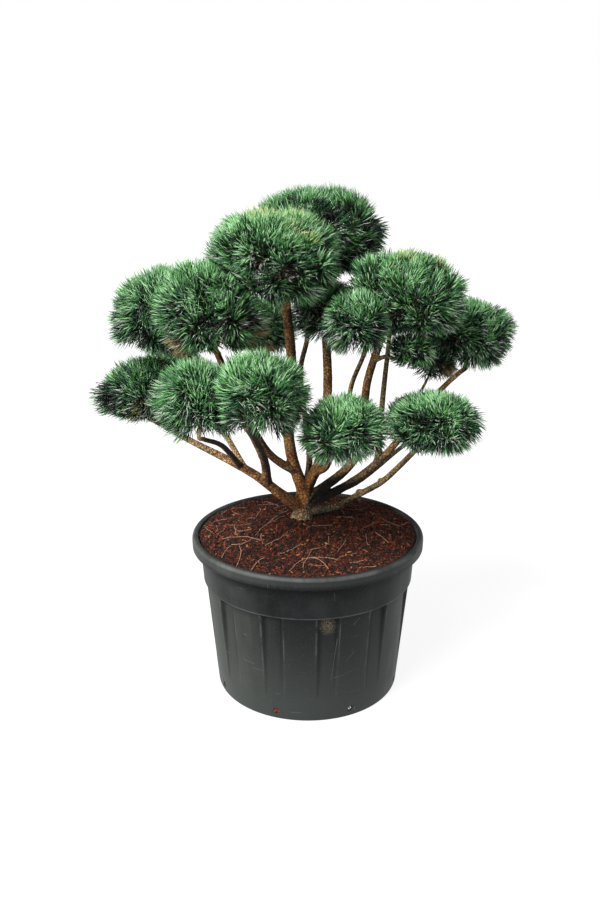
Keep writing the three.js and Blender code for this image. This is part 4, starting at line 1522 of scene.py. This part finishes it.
@dataclass
class Wood:
    """The trunk and boughs as one body of scaly bark, with knots, that runs on into the cushions."""

    skeleton: Skeleton
    sides: int = 26
    ring_step: float = 0.003
    plate_stretch: float = 0.6
    plate_depth: float = 0.13
    voxel: float = 0.0025
    # Painted light: the way towards the side that gets a painted highlight, and the fork and reach round
    # which the bark gets painted shade.
    painted_sunlight: Place = (-0.78, -0.28, 0.56)
    painted_shade_fork: Place = (0.055, 0.075, 0.505)
    painted_shade_reach: float = 0.085
    knots: tuple[tuple[str, float, float], ...] = (
        ("bough_low_right", 0.45, 1.9), ("bough_low_right", 0.64, 1.7), ("bough_right", 0.68, 1.5),
        ("bough_right_inner", 0.55, 1.6), ("bough_top_rear", 0.33, 1.35), ("bough_far_right", 0.42, 1.5),
        ("bough_left", 0.3, 1.3), ("bough_top_front", 0.42, 1.25), ("bough_low_front", 0.35, 1.4),
    )

    def build(self) -> None:
        """Models the wood and dresses it."""
        rods = []
        for number, (name, limb) in enumerate(self.skeleton.limbs.items()):
            route = self.skeleton.routes[name]
            rods.append(self._rod(name, route, lambda s, r=route, l=limb: l.radius_at(s, r.length), number))
        for number, cushion in enumerate(CUSHIONS):
            thick = self.skeleton.limbs[cushion.bough].radii[1]
            taper = self.skeleton.stem_taper
            stem = self.skeleton.stems[cushion.name]
            start = number + len(BOUGHS) + 1
            rods.append(self._rod("stem", stem, lambda s, t=thick: t * (1 - taper * s), start))
        rods += [self._knot(*knot) for knot in self.knots]
        wood = Workshop.join(rods)
        wood.name = wood.data.name = "wood"
        Workshop.modify(wood, "REMESH", mode="VOXEL", voxel_size=self.voxel)
        self._level_foot(wood)
        bpy.ops.object.shade_smooth()
        self._deal_tones(wood)
        nodes = [*self.skeleton.limbs, *(cushion.name for cushion in CUSHIONS)]
        Workshop.dress(wood, BarkFinish(), Slot.BARK, nodes)

    def _rod(self, name: str, route: Route, radius: Callable[[np.ndarray], np.ndarray],
             number: int) -> bpy.types.Object:
        """Models a straight rod with plates of bark, and bends it along a route.

        Args:
            name: The rod's name.
            route: The route that it follows.
            radius: The radius at some shares of the route.
            number: Its number, which sets where its pattern of plates begins.

        Returns:
            The bent rod.
        """
        shares = np.linspace(0, 1, 48)
        radii = radius(shares)
        long = route.length / radii.mean() * self.plate_stretch
        cylinder = dict(vertices=self.sides, radius=1.0, depth=long, end_fill_type="TRIFAN")
        turned = dict(location=(number * 31.0, 0, 0), rotation=(0, math.pi / 2, 0))
        rod = Workshop.added(bpy.ops.mesh.primitive_cylinder_add, name, **cylinder, **turned)
        Workshop.settle(rod)
        rings = max(4, round(route.length / self.ring_step))
        with Workshop.editing(rod):
            bpy.ops.mesh.select_all(action="DESELECT")
            shape = bmesh.from_edit_mesh(rod.data)
            for edge in shape.edges:
                run = abs(edge.verts[0].co.x - edge.verts[1].co.x)
                edge.select = bool(run > long / 2)
            bmesh.update_edit_mesh(rod.data)
            bpy.ops.mesh.subdivide(number_cuts=min(100, rings))
        self._plates(rod)
        path = self._path(route, shares, radii)
        Workshop.modify(rod, "CURVE", object=path, deform_axis="POS_X")
        bpy.data.objects.remove(path)
        return rod

    def _plates(self, rod: bpy.types.Object) -> None:
        """Raises plates and flakes on a straight rod.

        Args:
            rod: The rod.
        """
        patterns = (("VORONOI", 0.42, self.plate_depth), ("STUCCI", 0.22, self.plate_depth * 0.6))
        for kind, scale, depth in patterns:
            texture = bpy.data.textures.new(kind.lower(), kind)
            texture.noise_scale = scale
            Workshop.modify(rod, "DISPLACE", texture=texture, strength=depth, mid_level=0.45,
                            texture_coords="LOCAL")

    @staticmethod
    def _path(route: Route, shares: np.ndarray, radii: np.ndarray) -> bpy.types.Object:
        """Returns a curve object along a route, with the limb's radius at each point.

        Args:
            route: The route.
            shares: Where along the route the points lie.
            radii: The radius at each point.

        Returns:
            The curve object.
        """
        curve = bpy.data.curves.new("path", "CURVE")
        curve.dimensions = "3D"
        curve.twist_mode = "MINIMUM"
        curve.use_stretch = True
        curve.use_deform_bounds = True
        curve.use_radius = True
        line = curve.splines.new("POLY")
        line.points.add(len(shares) - 1)
        for point, place, radius in zip(line.points, route.at(shares), radii):
            point.co = (*place, 1.0)
            point.radius = radius
        path = bpy.data.objects.new("path", curve)
        bpy.context.scene.collection.objects.link(path)
        return path

    def _knot(self, name: str, share: float, size: float) -> bpy.types.Object:
        """Returns a knot on a limb, where a twig was cut off.

        Args:
            name: The limb's name.
            share: How far along the limb it sits.
            size: Its size against the limb's radius.

        Returns:
            The knot.
        """
        route, limb = self.skeleton.routes[name], self.skeleton.limbs[name]
        radius = float(limb.radius_at(np.array(share), route.length))
        place = route.at(share) + np.array((-0.25, -0.5, 0.45)) * radius
        scale = (radius * size * 0.7,) * 3
        return Workshop.settle(Workshop.added(bpy.ops.mesh.primitive_ico_sphere_add, "knot", subdivisions=3,
                                              radius=1.0, location=tuple(place), scale=scale))

    @staticmethod
    def _level_foot(wood: bpy.types.Object) -> None:
        """Cuts the trunk off flat just under the surface of the growing mix.

        Args:
            wood: The wood.
        """
        with Workshop.editing(wood):
            bpy.ops.mesh.select_all(action="SELECT")
            bpy.ops.mesh.bisect(plane_co=(0, 0, TRUNK_FOOT[2] - 0.002), plane_no=(0, 0, 1), use_fill=True,
                                clear_inner=True)

    def _deal_tones(self, wood: bpy.types.Object) -> None:
        """Gives each vertex its limb's warmth and its painted light and shade, and makes the trunk's foot
        pale.

        Args:
            wood: The wood.
        """
        finder = KDTree(len(self.skeleton.places))
        for i, place in enumerate(self.skeleton.places):
            finder.insert(place, i)
        finder.balance()
        limbs = list(self.skeleton.limbs.values())
        sky = np.array(self.painted_sunlight)
        warmth, paleness, weather = [], [], []
        for vertex in wood.data.vertices:
            nearest = finder.find(vertex.co)[1]
            foot, tip = limbs[self.skeleton.owners[nearest]].warmth
            warmth.append(foot + (tip - foot) * self.skeleton.shares[nearest])
            paleness.append(max(0.0, 1 - (vertex.co.z - TRUNK_FOOT[2]) / 0.045) * 0.8)
            # Painted light: high where the bark faces the key light, less by painted shade near the fork.
            facing = float(sky @ unit(np.array(vertex.co) - self.skeleton.places[nearest]))
            near_fork = max(0.0, 1 - math.dist(vertex.co, self.painted_shade_fork) / self.painted_shade_reach)
            weather.append(facing - 2.2 * near_fork)
        for name, values in (("warmth", warmth), ("paleness", paleness), ("weather", weather)):
            wood.data.attributes.new(name, "FLOAT", "POINT").data.foreach_set("value", values)


# Pot and growing mix


@dataclass
class Pot:
    """The round nursery pot: a rolled rim, a band, a body with hollows between its ribs, and drain holes."""

    rim_radius: float = 0.300
    rim_top: float = 0.418
    rim_height: float = 0.030
    rim_wall: float = 0.004
    rim_width: float = 0.016
    rim_round: float = 0.010
    band_top_radius: float = 0.279
    band_foot_radius: float = 0.273
    band_foot: float = 0.300
    body_top_radius: float = 0.267
    body_top: float = 0.290
    base_radius: float = 0.240
    base_thickness: float = 0.010
    wall: float = 0.013
    flutes: int = 12
    flute_depth: float = 0.008
    flute_fade: float = 0.070
    flute_turn: float = 16.5
    hollow: tuple[float, float] = (19.2, 28.8)
    columns: int = 300
    drains: int = 8
    drain_radius: float = 0.008
    drain_height: float = 0.024
    drain_turn: float = 19.0
    edge_round: float = 0.0012

    def build(self) -> None:
        """Models the pot and dresses it."""
        pot = Workshop.turned("pot_shell", self._profile(), self.columns, math.radians(self.flute_turn))
        self._press_hollows(pot)
        for i in range(self.drains):
            Workshop.cut(pot, self._drill(math.radians(i * 360 / self.drains - 90 - self.drain_turn)))
        Workshop.modify(pot, "BEVEL", width=self.edge_round, segments=2, limit_method="ANGLE",
                        angle_limit=math.radians(28))
        Workshop.take(pot)
        bpy.ops.object.shade_smooth_by_angle(angle=math.radians(32))
        Workshop.dress(pot, PotFinish(), Slot.POT, ["pot"])

    def _profile(self) -> list[tuple[float, float]]:
        """Draws the wall's outline.

        Returns:
            The radius and height of each ring, from the middle of the underside to the middle of the floor.
        """
        rim_foot = self.rim_top - self.rim_height
        flare = (self.body_top_radius - self.base_radius) / self.body_top
        fade_radius = self.base_radius + flare * self.flute_fade
        under_rim = self.rim_top - 0.010
        round_off = self.rim_round
        roll = [
            (self.rim_radius - round_off * (1 - math.cos(a)), self.rim_top - round_off * (1 - math.sin(a)))
            for a in np.linspace(0, math.pi / 2, 8)]
        mouth = self.rim_radius - self.rim_width
        lip_round = self.rim_width - round_off - 0.001
        lip = [(mouth + lip_round * (1 - math.sin(a)), self.rim_top - lip_round * (1 - math.cos(a)))
               for a in np.linspace(0, math.pi / 2, 5)]
        return [
            (self.base_radius - 0.030, 0.003), (self.base_radius - 0.024, 0.0),
            (self.base_radius - 0.005, 0.0), (self.base_radius - 0.001, 0.002),
            (self.base_radius + 0.0005, 0.006),
            (fade_radius, self.flute_fade), (self.body_top_radius, self.body_top),
            (self.band_foot_radius, self.band_foot), (self.band_top_radius, rim_foot + 0.003),
            (self.band_top_radius + 0.002, under_rim), (self.rim_radius - self.rim_wall, under_rim),
            (self.rim_radius - self.rim_wall, rim_foot), (self.rim_radius - 0.0005, rim_foot),
            *roll, *lip, (self.body_top_radius - self.wall, self.body_top),
            (self.base_radius - self.wall, self.base_thickness),
        ]

    def _press_hollows(self, pot: bpy.types.Object) -> None:
        """Presses the hollows in at the top of the body, from where they fade out towards the foot.

        Args:
            pot: The pot.
        """
        step = 360 / self.flutes
        first, last = self.hollow

        def in_hollow(place: Vector) -> bool:
            """Says whether a place is on the top ring of the body, in a hollow.

            Args:
                place: The place.

            Returns:
                True where it is.
            """
            turn = (math.degrees(math.atan2(place.y, place.x)) + 90 - self.flute_turn) % step
            outside = math.hypot(place.x, place.y) > self.body_top_radius - 1e-3
            on_ring = outside and abs(place.z - self.body_top) < 1e-4
            return on_ring and first - 0.3 < turn < last + 0.3

        with Workshop.editing(pot):
            Workshop.choose(pot, in_hollow)
            scale = 1 - self.flute_depth / self.body_top_radius
            bpy.ops.transform.resize(value=(scale, scale, 1), center_override=(0, 0, self.body_top))

    def _drill(self, angle: float) -> bpy.types.Object:
        """Makes a drill that lies along a radius at the foot of the wall.

        Args:
            angle: The radius's turn about Z.

        Returns:
            The drill.
        """
        place = (self.base_radius * math.cos(angle), self.base_radius * math.sin(angle), self.drain_height)
        return Workshop.settle(Workshop.added(
            bpy.ops.mesh.primitive_cylinder_add, "drill", vertices=18, radius=self.drain_radius,
            depth=5 * self.wall, location=place, rotation=(0, math.pi / 2, angle)))


@dataclass
class GrowingMix:
    """The growing mix: a heaped, crumbly fill, with chips of bark and pale root fibres on it."""

    edge_radius: float = 0.2802
    edge: float = 0.412
    top: float = 0.440
    seat: float = 0.062
    floor: float = 0.0103
    wall_radius: float = 0.2515
    wall_height: float = 0.290
    foot_radius: float = 0.2245
    ring_step: float = 0.0045
    columns: int = 220
    still_edge: float = 0.012
    still_seat: float = 0.08
    lumps: tuple[tuple[str, float, float], ...] = (
        ("CLOUDS", 0.07, 0.012), ("CLOUDS", 0.018, 0.009), ("STUCCI", 0.006, 0.005))
    chips: int = 14000
    fibres: int = 42
    long_fibres: tuple[tuple[tuple[float, float], ...], ...] = (
        ((-0.045, -0.258), (-0.028, -0.218), (-0.005, -0.195), (0.022, -0.200), (0.047, -0.245)),
        ((-0.005, -0.195), (0.033, -0.188), (0.072, -0.195)),
        ((-0.192, -0.108), (-0.163, -0.113), (-0.137, -0.088)),
        ((-0.171, -0.118), (-0.165, -0.147), (-0.166, -0.195), (-0.175, -0.241)),
        ((-0.107, -0.123), (-0.088, -0.108), (-0.073, -0.088)),
        ((-0.118, -0.057), (-0.118, -0.088), (-0.112, -0.118)),
        ((-0.136, -0.249), (-0.123, -0.209), (-0.105, -0.186)),
        ((-0.134, -0.067), (-0.115, -0.025), (-0.100, 0.008), (-0.076, 0.059), (-0.051, 0.088)),
        ((-0.156, 0.047), (-0.135, 0.053)),
        ((-0.210, -0.176), (-0.203, -0.138), (-0.191, -0.118)),
        ((0.174, -0.041), (0.190, -0.065), (0.204, -0.098)),
    )

    drain_depth: float = 0.2405
    drain_height: float = 0.024
    tuft_turn: float = -109.0
    bead_turn: float = -64.0
    beads: tuple[tuple[float, float, float], ...] = (
        (-0.0022, -0.0028, 0.0032), (0.0030, -0.0010, 0.0024), (0.0012, 0.0034, 0.0019),
        (-0.0044, 0.0018, 0.0014))

    def build(self) -> None:
        """Models the fill, the chips and the fibres, and dresses them."""
        fill = self._fill()
        Workshop.dress(fill, MixFinish(), Slot.MIX, ["growing_mix"])
        surface = BVHTree.FromPolygons([v.co for v in fill.data.vertices],
                                       [p.vertices for p in fill.data.polygons])
        luck = np.random.default_rng(SEED + 1)
        finishes = (PlainFinish("chips_red", "83381c", 0.9), PlainFinish("chips_dark", "080302", 0.9),
                    PlainFinish("chips_brown", "5d2a14", 0.9), PlainFinish("chips_tan", "b57a4b", 0.9))
        for finish, share in zip(finishes, (0.3, 0.38, 0.27, 0.05)):
            piece = self._chips(finish.name, round(self.chips * share), surface, luck)
            Workshop.dress(piece, finish, Slot.MIX, ["growing_mix"])
        fibres = self._fibres(surface, luck)
        Workshop.dress(fibres, PlainFinish("root_fibres", "bb9781", 0.7), Slot.MIX, ["growing_mix"])
        tuft = self._tuft(luck)
        Workshop.dress(tuft, PlainFinish("tuft_of_roots", "8a4a20", 0.8), Slot.MIX, ["growing_mix"])
        Workshop.dress(self._beads(), PlainFinish("perlite", "e4e3dc", 0.8), Slot.MIX, ["growing_mix"])

    def _tuft(self, luck: np.random.Generator) -> bpy.types.Object:
        """Returns the short roots that stick out of one drain hole.

        Args:
            luck: Random numbers.

        Returns:
            The roots as one object.
        """
        turn, height = math.radians(self.tuft_turn), self.drain_height
        out = np.array((math.cos(turn), math.sin(turn), 0.0))
        across = np.array((-math.sin(turn), math.cos(turn), 0.0))
        roots = Twigs(sides=4)
        for _ in range(90):
            inner, outer = luck.normal(0, 0.0025, 2), luck.normal(0, 0.0042, 2)
            start = out * (self.drain_depth - 0.012) + across * inner[0] + UP * (height + inner[1])
            end = out * (self.drain_depth + luck.uniform(-0.001, 0.003)) + across * outer[0] * 1.3
            end = end + UP * (height + outer[1])
            roots.add(start, end, 0.0006, 0.0004, luck.normal(0, 0.001, 3))
        return roots.mesh("tuft_of_roots")

    def _beads(self) -> bpy.types.Object:
        """Models the white crumbs that show in another drain hole.

        Returns:
            The crumbs as one object.
        """
        turn = math.radians(self.bead_turn)
        out = Vector((math.cos(turn), math.sin(turn), 0.0))
        across = Vector((-math.sin(turn), math.cos(turn), 0.0))
        beads = []
        for sideways, rise, radius in self.beads:
            level = Vector((0, 0, self.drain_height + rise))
            ball = dict(subdivisions=3, radius=radius, scale=(1.0, 0.8, 0.9))
            ball["location"] = out * (self.drain_depth - 0.003) + across * sideways + level
            bead = Workshop.settle(Workshop.added(bpy.ops.mesh.primitive_ico_sphere_add, "bead", **ball))
            texture = bpy.data.textures.new("bead", "CLOUDS")
            texture.noise_scale = 0.003
            Workshop.modify(bead, "DISPLACE", texture=texture, strength=radius * 0.8, mid_level=0.5,
                            texture_coords="LOCAL")
            beads.append(bead)
        joined = Workshop.join(beads)
        joined.name = joined.data.name = "perlite"
        return joined

    def height_at(self, share: float) -> float:
        """Returns the heap's height at a share of its radius.

        Args:
            share: The share.

        Returns:
            The height.
        """
        marks = (0.0, self.seat / self.edge_radius, 0.45, 0.72, 1.0)
        heights = (self.top, self.top, self.edge + 0.019, self.edge + 0.009, self.edge)
        return float(np.interp(share, marks, heights))

    def _fill(self) -> bpy.types.Object:
        """Models the fill, with lumps that grow finer in steps.

        Returns:
            The fill.
        """
        rings = round(self.edge_radius / self.ring_step)
        heap = [(self.edge_radius * i / rings, self.height_at(i / rings)) for i in range(rings, 0, -1)]
        profile = [(self.foot_radius, self.floor), (self.wall_radius, self.wall_height), *heap]
        fill = Workshop.turned("growing_mix_fill", profile, self.columns, 0.0)
        group = fill.vertex_groups.new(name="loose")
        for vertex in fill.data.vertices:
            reach = math.hypot(vertex.co.x, vertex.co.y)
            if vertex.co.z > self.edge - 0.001:
                seat = math.hypot(vertex.co.x - TRUNK_FOOT[0], vertex.co.y - TRUNK_FOOT[1])
                from_edge = (self.edge_radius - reach) / self.still_edge + 0.15
                group.add([vertex.index], min(1.0, from_edge, seat / self.still_seat), "REPLACE")
        for kind, scale, depth in self.lumps:
            texture = bpy.data.textures.new("lumps", kind)
            texture.noise_scale = scale
            Workshop.modify(fill, "DISPLACE", texture=texture, strength=depth, mid_level=0.5, direction="Z",
                            vertex_group="loose", texture_coords="LOCAL")
        Workshop.take(fill)
        bpy.ops.object.shade_smooth()
        return fill

    def _settled(self, across: np.ndarray, surface: BVHTree) -> np.ndarray:
        """Returns places in plan dropped onto the surface.

        Args:
            across: The places in plan.
            surface: The growing mix.

        Returns:
            The places on the surface.
        """
        rows = []
        for x, y in across:
            hit = surface.ray_cast(Vector((x, y, 0.6)), Vector((0, 0, -1)))[0]
            rows.append(tuple(hit) if hit else (x, y, self.edge))
        return np.array(rows)

    def _chips(self, name: str, count: int, surface: BVHTree,
               luck: np.random.Generator) -> bpy.types.Object:
        """Returns flat, split chips that lie every way on the surface, as one object.

        Args:
            name: The object's name.
            count: How many chips.
            surface: The growing mix.
            luck: Random numbers.

        Returns:
            The chips.
        """
        reach = np.sqrt(luck.random(count)) * (self.edge_radius - 0.003)
        angle = luck.random(count) * 2 * math.pi
        places = self._settled(np.stack([reach * np.cos(angle), reach * np.sin(angle)], axis=1), surface)
        long = luck.gamma(3.0, 0.0009, count)[:, None] + 0.0011
        axis = unit(luck.normal(0, 1, (count, 3)) * np.array((1, 1, 0.55)))
        side, other = sides_of(axis)
        middle = places + UP * luck.uniform(-0.001, 0.0022, (count, 1))
        wide = long * luck.uniform(0.25, 0.55, (count, 1))
        flat = long * luck.uniform(0.12, 0.3, (count, 1))
        skew = luck.normal(0, 0.25, (count, 1))
        rows = [middle - axis * long, middle + axis * long, middle + side * wide + axis * long * skew,
                middle - side * wide, middle + other * flat, middle - other * flat]
        upper = [(1, 2, 4), (2, 0, 4), (0, 3, 4), (3, 1, 4)]
        faces = np.array(upper + [(b, a, 5) for a, b, _ in upper])
        all_faces = faces[None] + (np.arange(count) * 6)[:, None, None]
        points = np.stack(rows, axis=1).reshape(-1, 3)
        return Workshop.from_arrays(name, points, all_faces.reshape(-1, 3), smooth=False)

    def _fibres(self, surface: BVHTree, luck: np.random.Generator) -> bpy.types.Object:
        """Returns thin, winding roots that lie on the surface, as one object.

        Args:
            surface: The growing mix.
            luck: Random numbers.

        Returns:
            The roots.
        """
        roots = Twigs(sides=4)
        for marks in self.long_fibres:
            route = Route.through([(*mark, 0.0) for mark in marks])
            across = route.at(np.linspace(0, 1, max(3, round(route.length / 0.006))))[:, :2]
            self._lay(roots, across, 0.0010, surface, luck)
        for _ in range(self.fibres):
            steps = int(luck.integers(5, 15))
            step = luck.uniform(0.006, 0.010)
            radius = luck.uniform(0.0004, 0.0009)
            reach = math.sqrt(luck.random()) * (self.edge_radius - 0.02)
            angle, turn = luck.random(2) * 2 * math.pi
            place = np.array((reach * math.cos(angle), reach * math.sin(angle)))
            across = [place]
            bend = luck.normal(0, 0.1)
            for _ in range(steps):
                turn += bend + luck.normal(0, 0.13)
                place = place + step * np.array((math.cos(turn), math.sin(turn)))
                across.append(place)
            across = [p for p in across if np.hypot(*p) < self.edge_radius - 0.006]
            self._lay(roots, np.array(across).reshape(-1, 2), radius, surface, luck)
        return roots.mesh("root_fibres")

    def _lay(self, roots: Twigs, across: np.ndarray, radius: float, surface: BVHTree,
             luck: np.random.Generator) -> None:
        """Lays one root on the surface.

        Args:
            roots: The roots so far.
            across: The places in plan that it passes.
            radius: Its radius.
            surface: The growing mix.
            luck: Random numbers.
        """
        points = self._settled(across, surface)
        ends = np.pad(points[:, 2], 2, mode="edge")
        level = np.maximum(points[:, 2], np.convolve(ends, np.full(5, 0.2), "valid"))
        points[:, 2] = level + 0.0022 + luck.normal(0, 0.0003, len(points))
        for start, end in zip(points, points[1:]):
            roots.add(start, end, radius, radius, np.zeros(3))


# Studio


@dataclass
class Studio:
    """The floor, the soft light and the camera at the photograph's angle."""

    camera_place: Place = (-0.020, -2.200, 1.323)
    camera_pitch: float = 17.35
    focal_pixels: float = 907.0
    frame_height: int = 900
    sensor: float = 36.0
    ambient: float = 0.18

    def build(self) -> None:
        """Sets up the floor, lights and camera."""
        self._camera()
        self._floor()
        self._light("key", (-1.1, -1.1, 1.6), 34.0, 4.3)
        self._light("back", (0.6, 1.0, 1.4), 60.0, 0.5)
        self._surroundings()
        bpy.context.scene.view_settings.view_transform = "Standard"

    def _surroundings(self) -> None:
        """Makes the air round the plant white to the camera and dim as a light."""
        world = bpy.data.worlds.new("studio")
        loom = Loom(world, "Background")
        seen = loom.node("ShaderNodeLightPath", output="Is Camera Ray")
        inputs = {"Value": seen, "To Min": self.ambient, "To Max": 1.0}
        loom.shade(color=(1.0, 1.0, 1.0), strength=loom.node("ShaderNodeMapRange", {}, inputs))
        bpy.context.scene.world = world

    def _camera(self) -> None:
        """Places the camera."""
        data = bpy.data.cameras.new("camera")
        data.sensor_width = self.sensor
        data.lens = self.focal_pixels / self.frame_height * self.sensor
        camera = bpy.data.objects.new("camera", data)
        camera.location = self.camera_place
        camera.rotation_euler = (math.radians(90 - self.camera_pitch), 0, 0)
        bpy.context.scene.collection.objects.link(camera)
        bpy.context.scene.camera = camera

    @staticmethod
    def _floor() -> None:
        """Lays a pale floor."""
        floor = Workshop.added(bpy.ops.mesh.primitive_plane_add, "floor", size=60.0, location=(0, 0, 0))
        floor.data.materials.append(PlainFinish("pale_floor", "777777", 0.9, 0.88).material())

    @staticmethod
    def _light(name: str, place: Place, width: float, power: float) -> None:
        """Sets up a wide, even light that shines from a place towards the pot's foot.

        Args:
            name: The light's name.
            place: Where it shines from.
            width: How many degrees wide it looks, for soft shadows.
            power: Its strength.
        """
        data = bpy.data.lights.new(name, "SUN")
        data.angle = math.radians(width)
        data.energy = power
        light = bpy.data.objects.new(name, data)
        light.location = place
        light.rotation_euler = (-Vector(place)).to_track_quat("-Z", "Y").to_euler()
        bpy.context.scene.collection.objects.link(light)


def main() -> None:
    """Builds the plant, its pot and the studio."""
    logging.basicConfig(level=logging.INFO, format="%(message)s")
    Studio().build()
    Pot().build()
    GrowingMix().build()
    skeleton = Skeleton()
    Wood(skeleton).build()
    Foliage(skeleton).build()


if __name__ == "__main__":
    main()
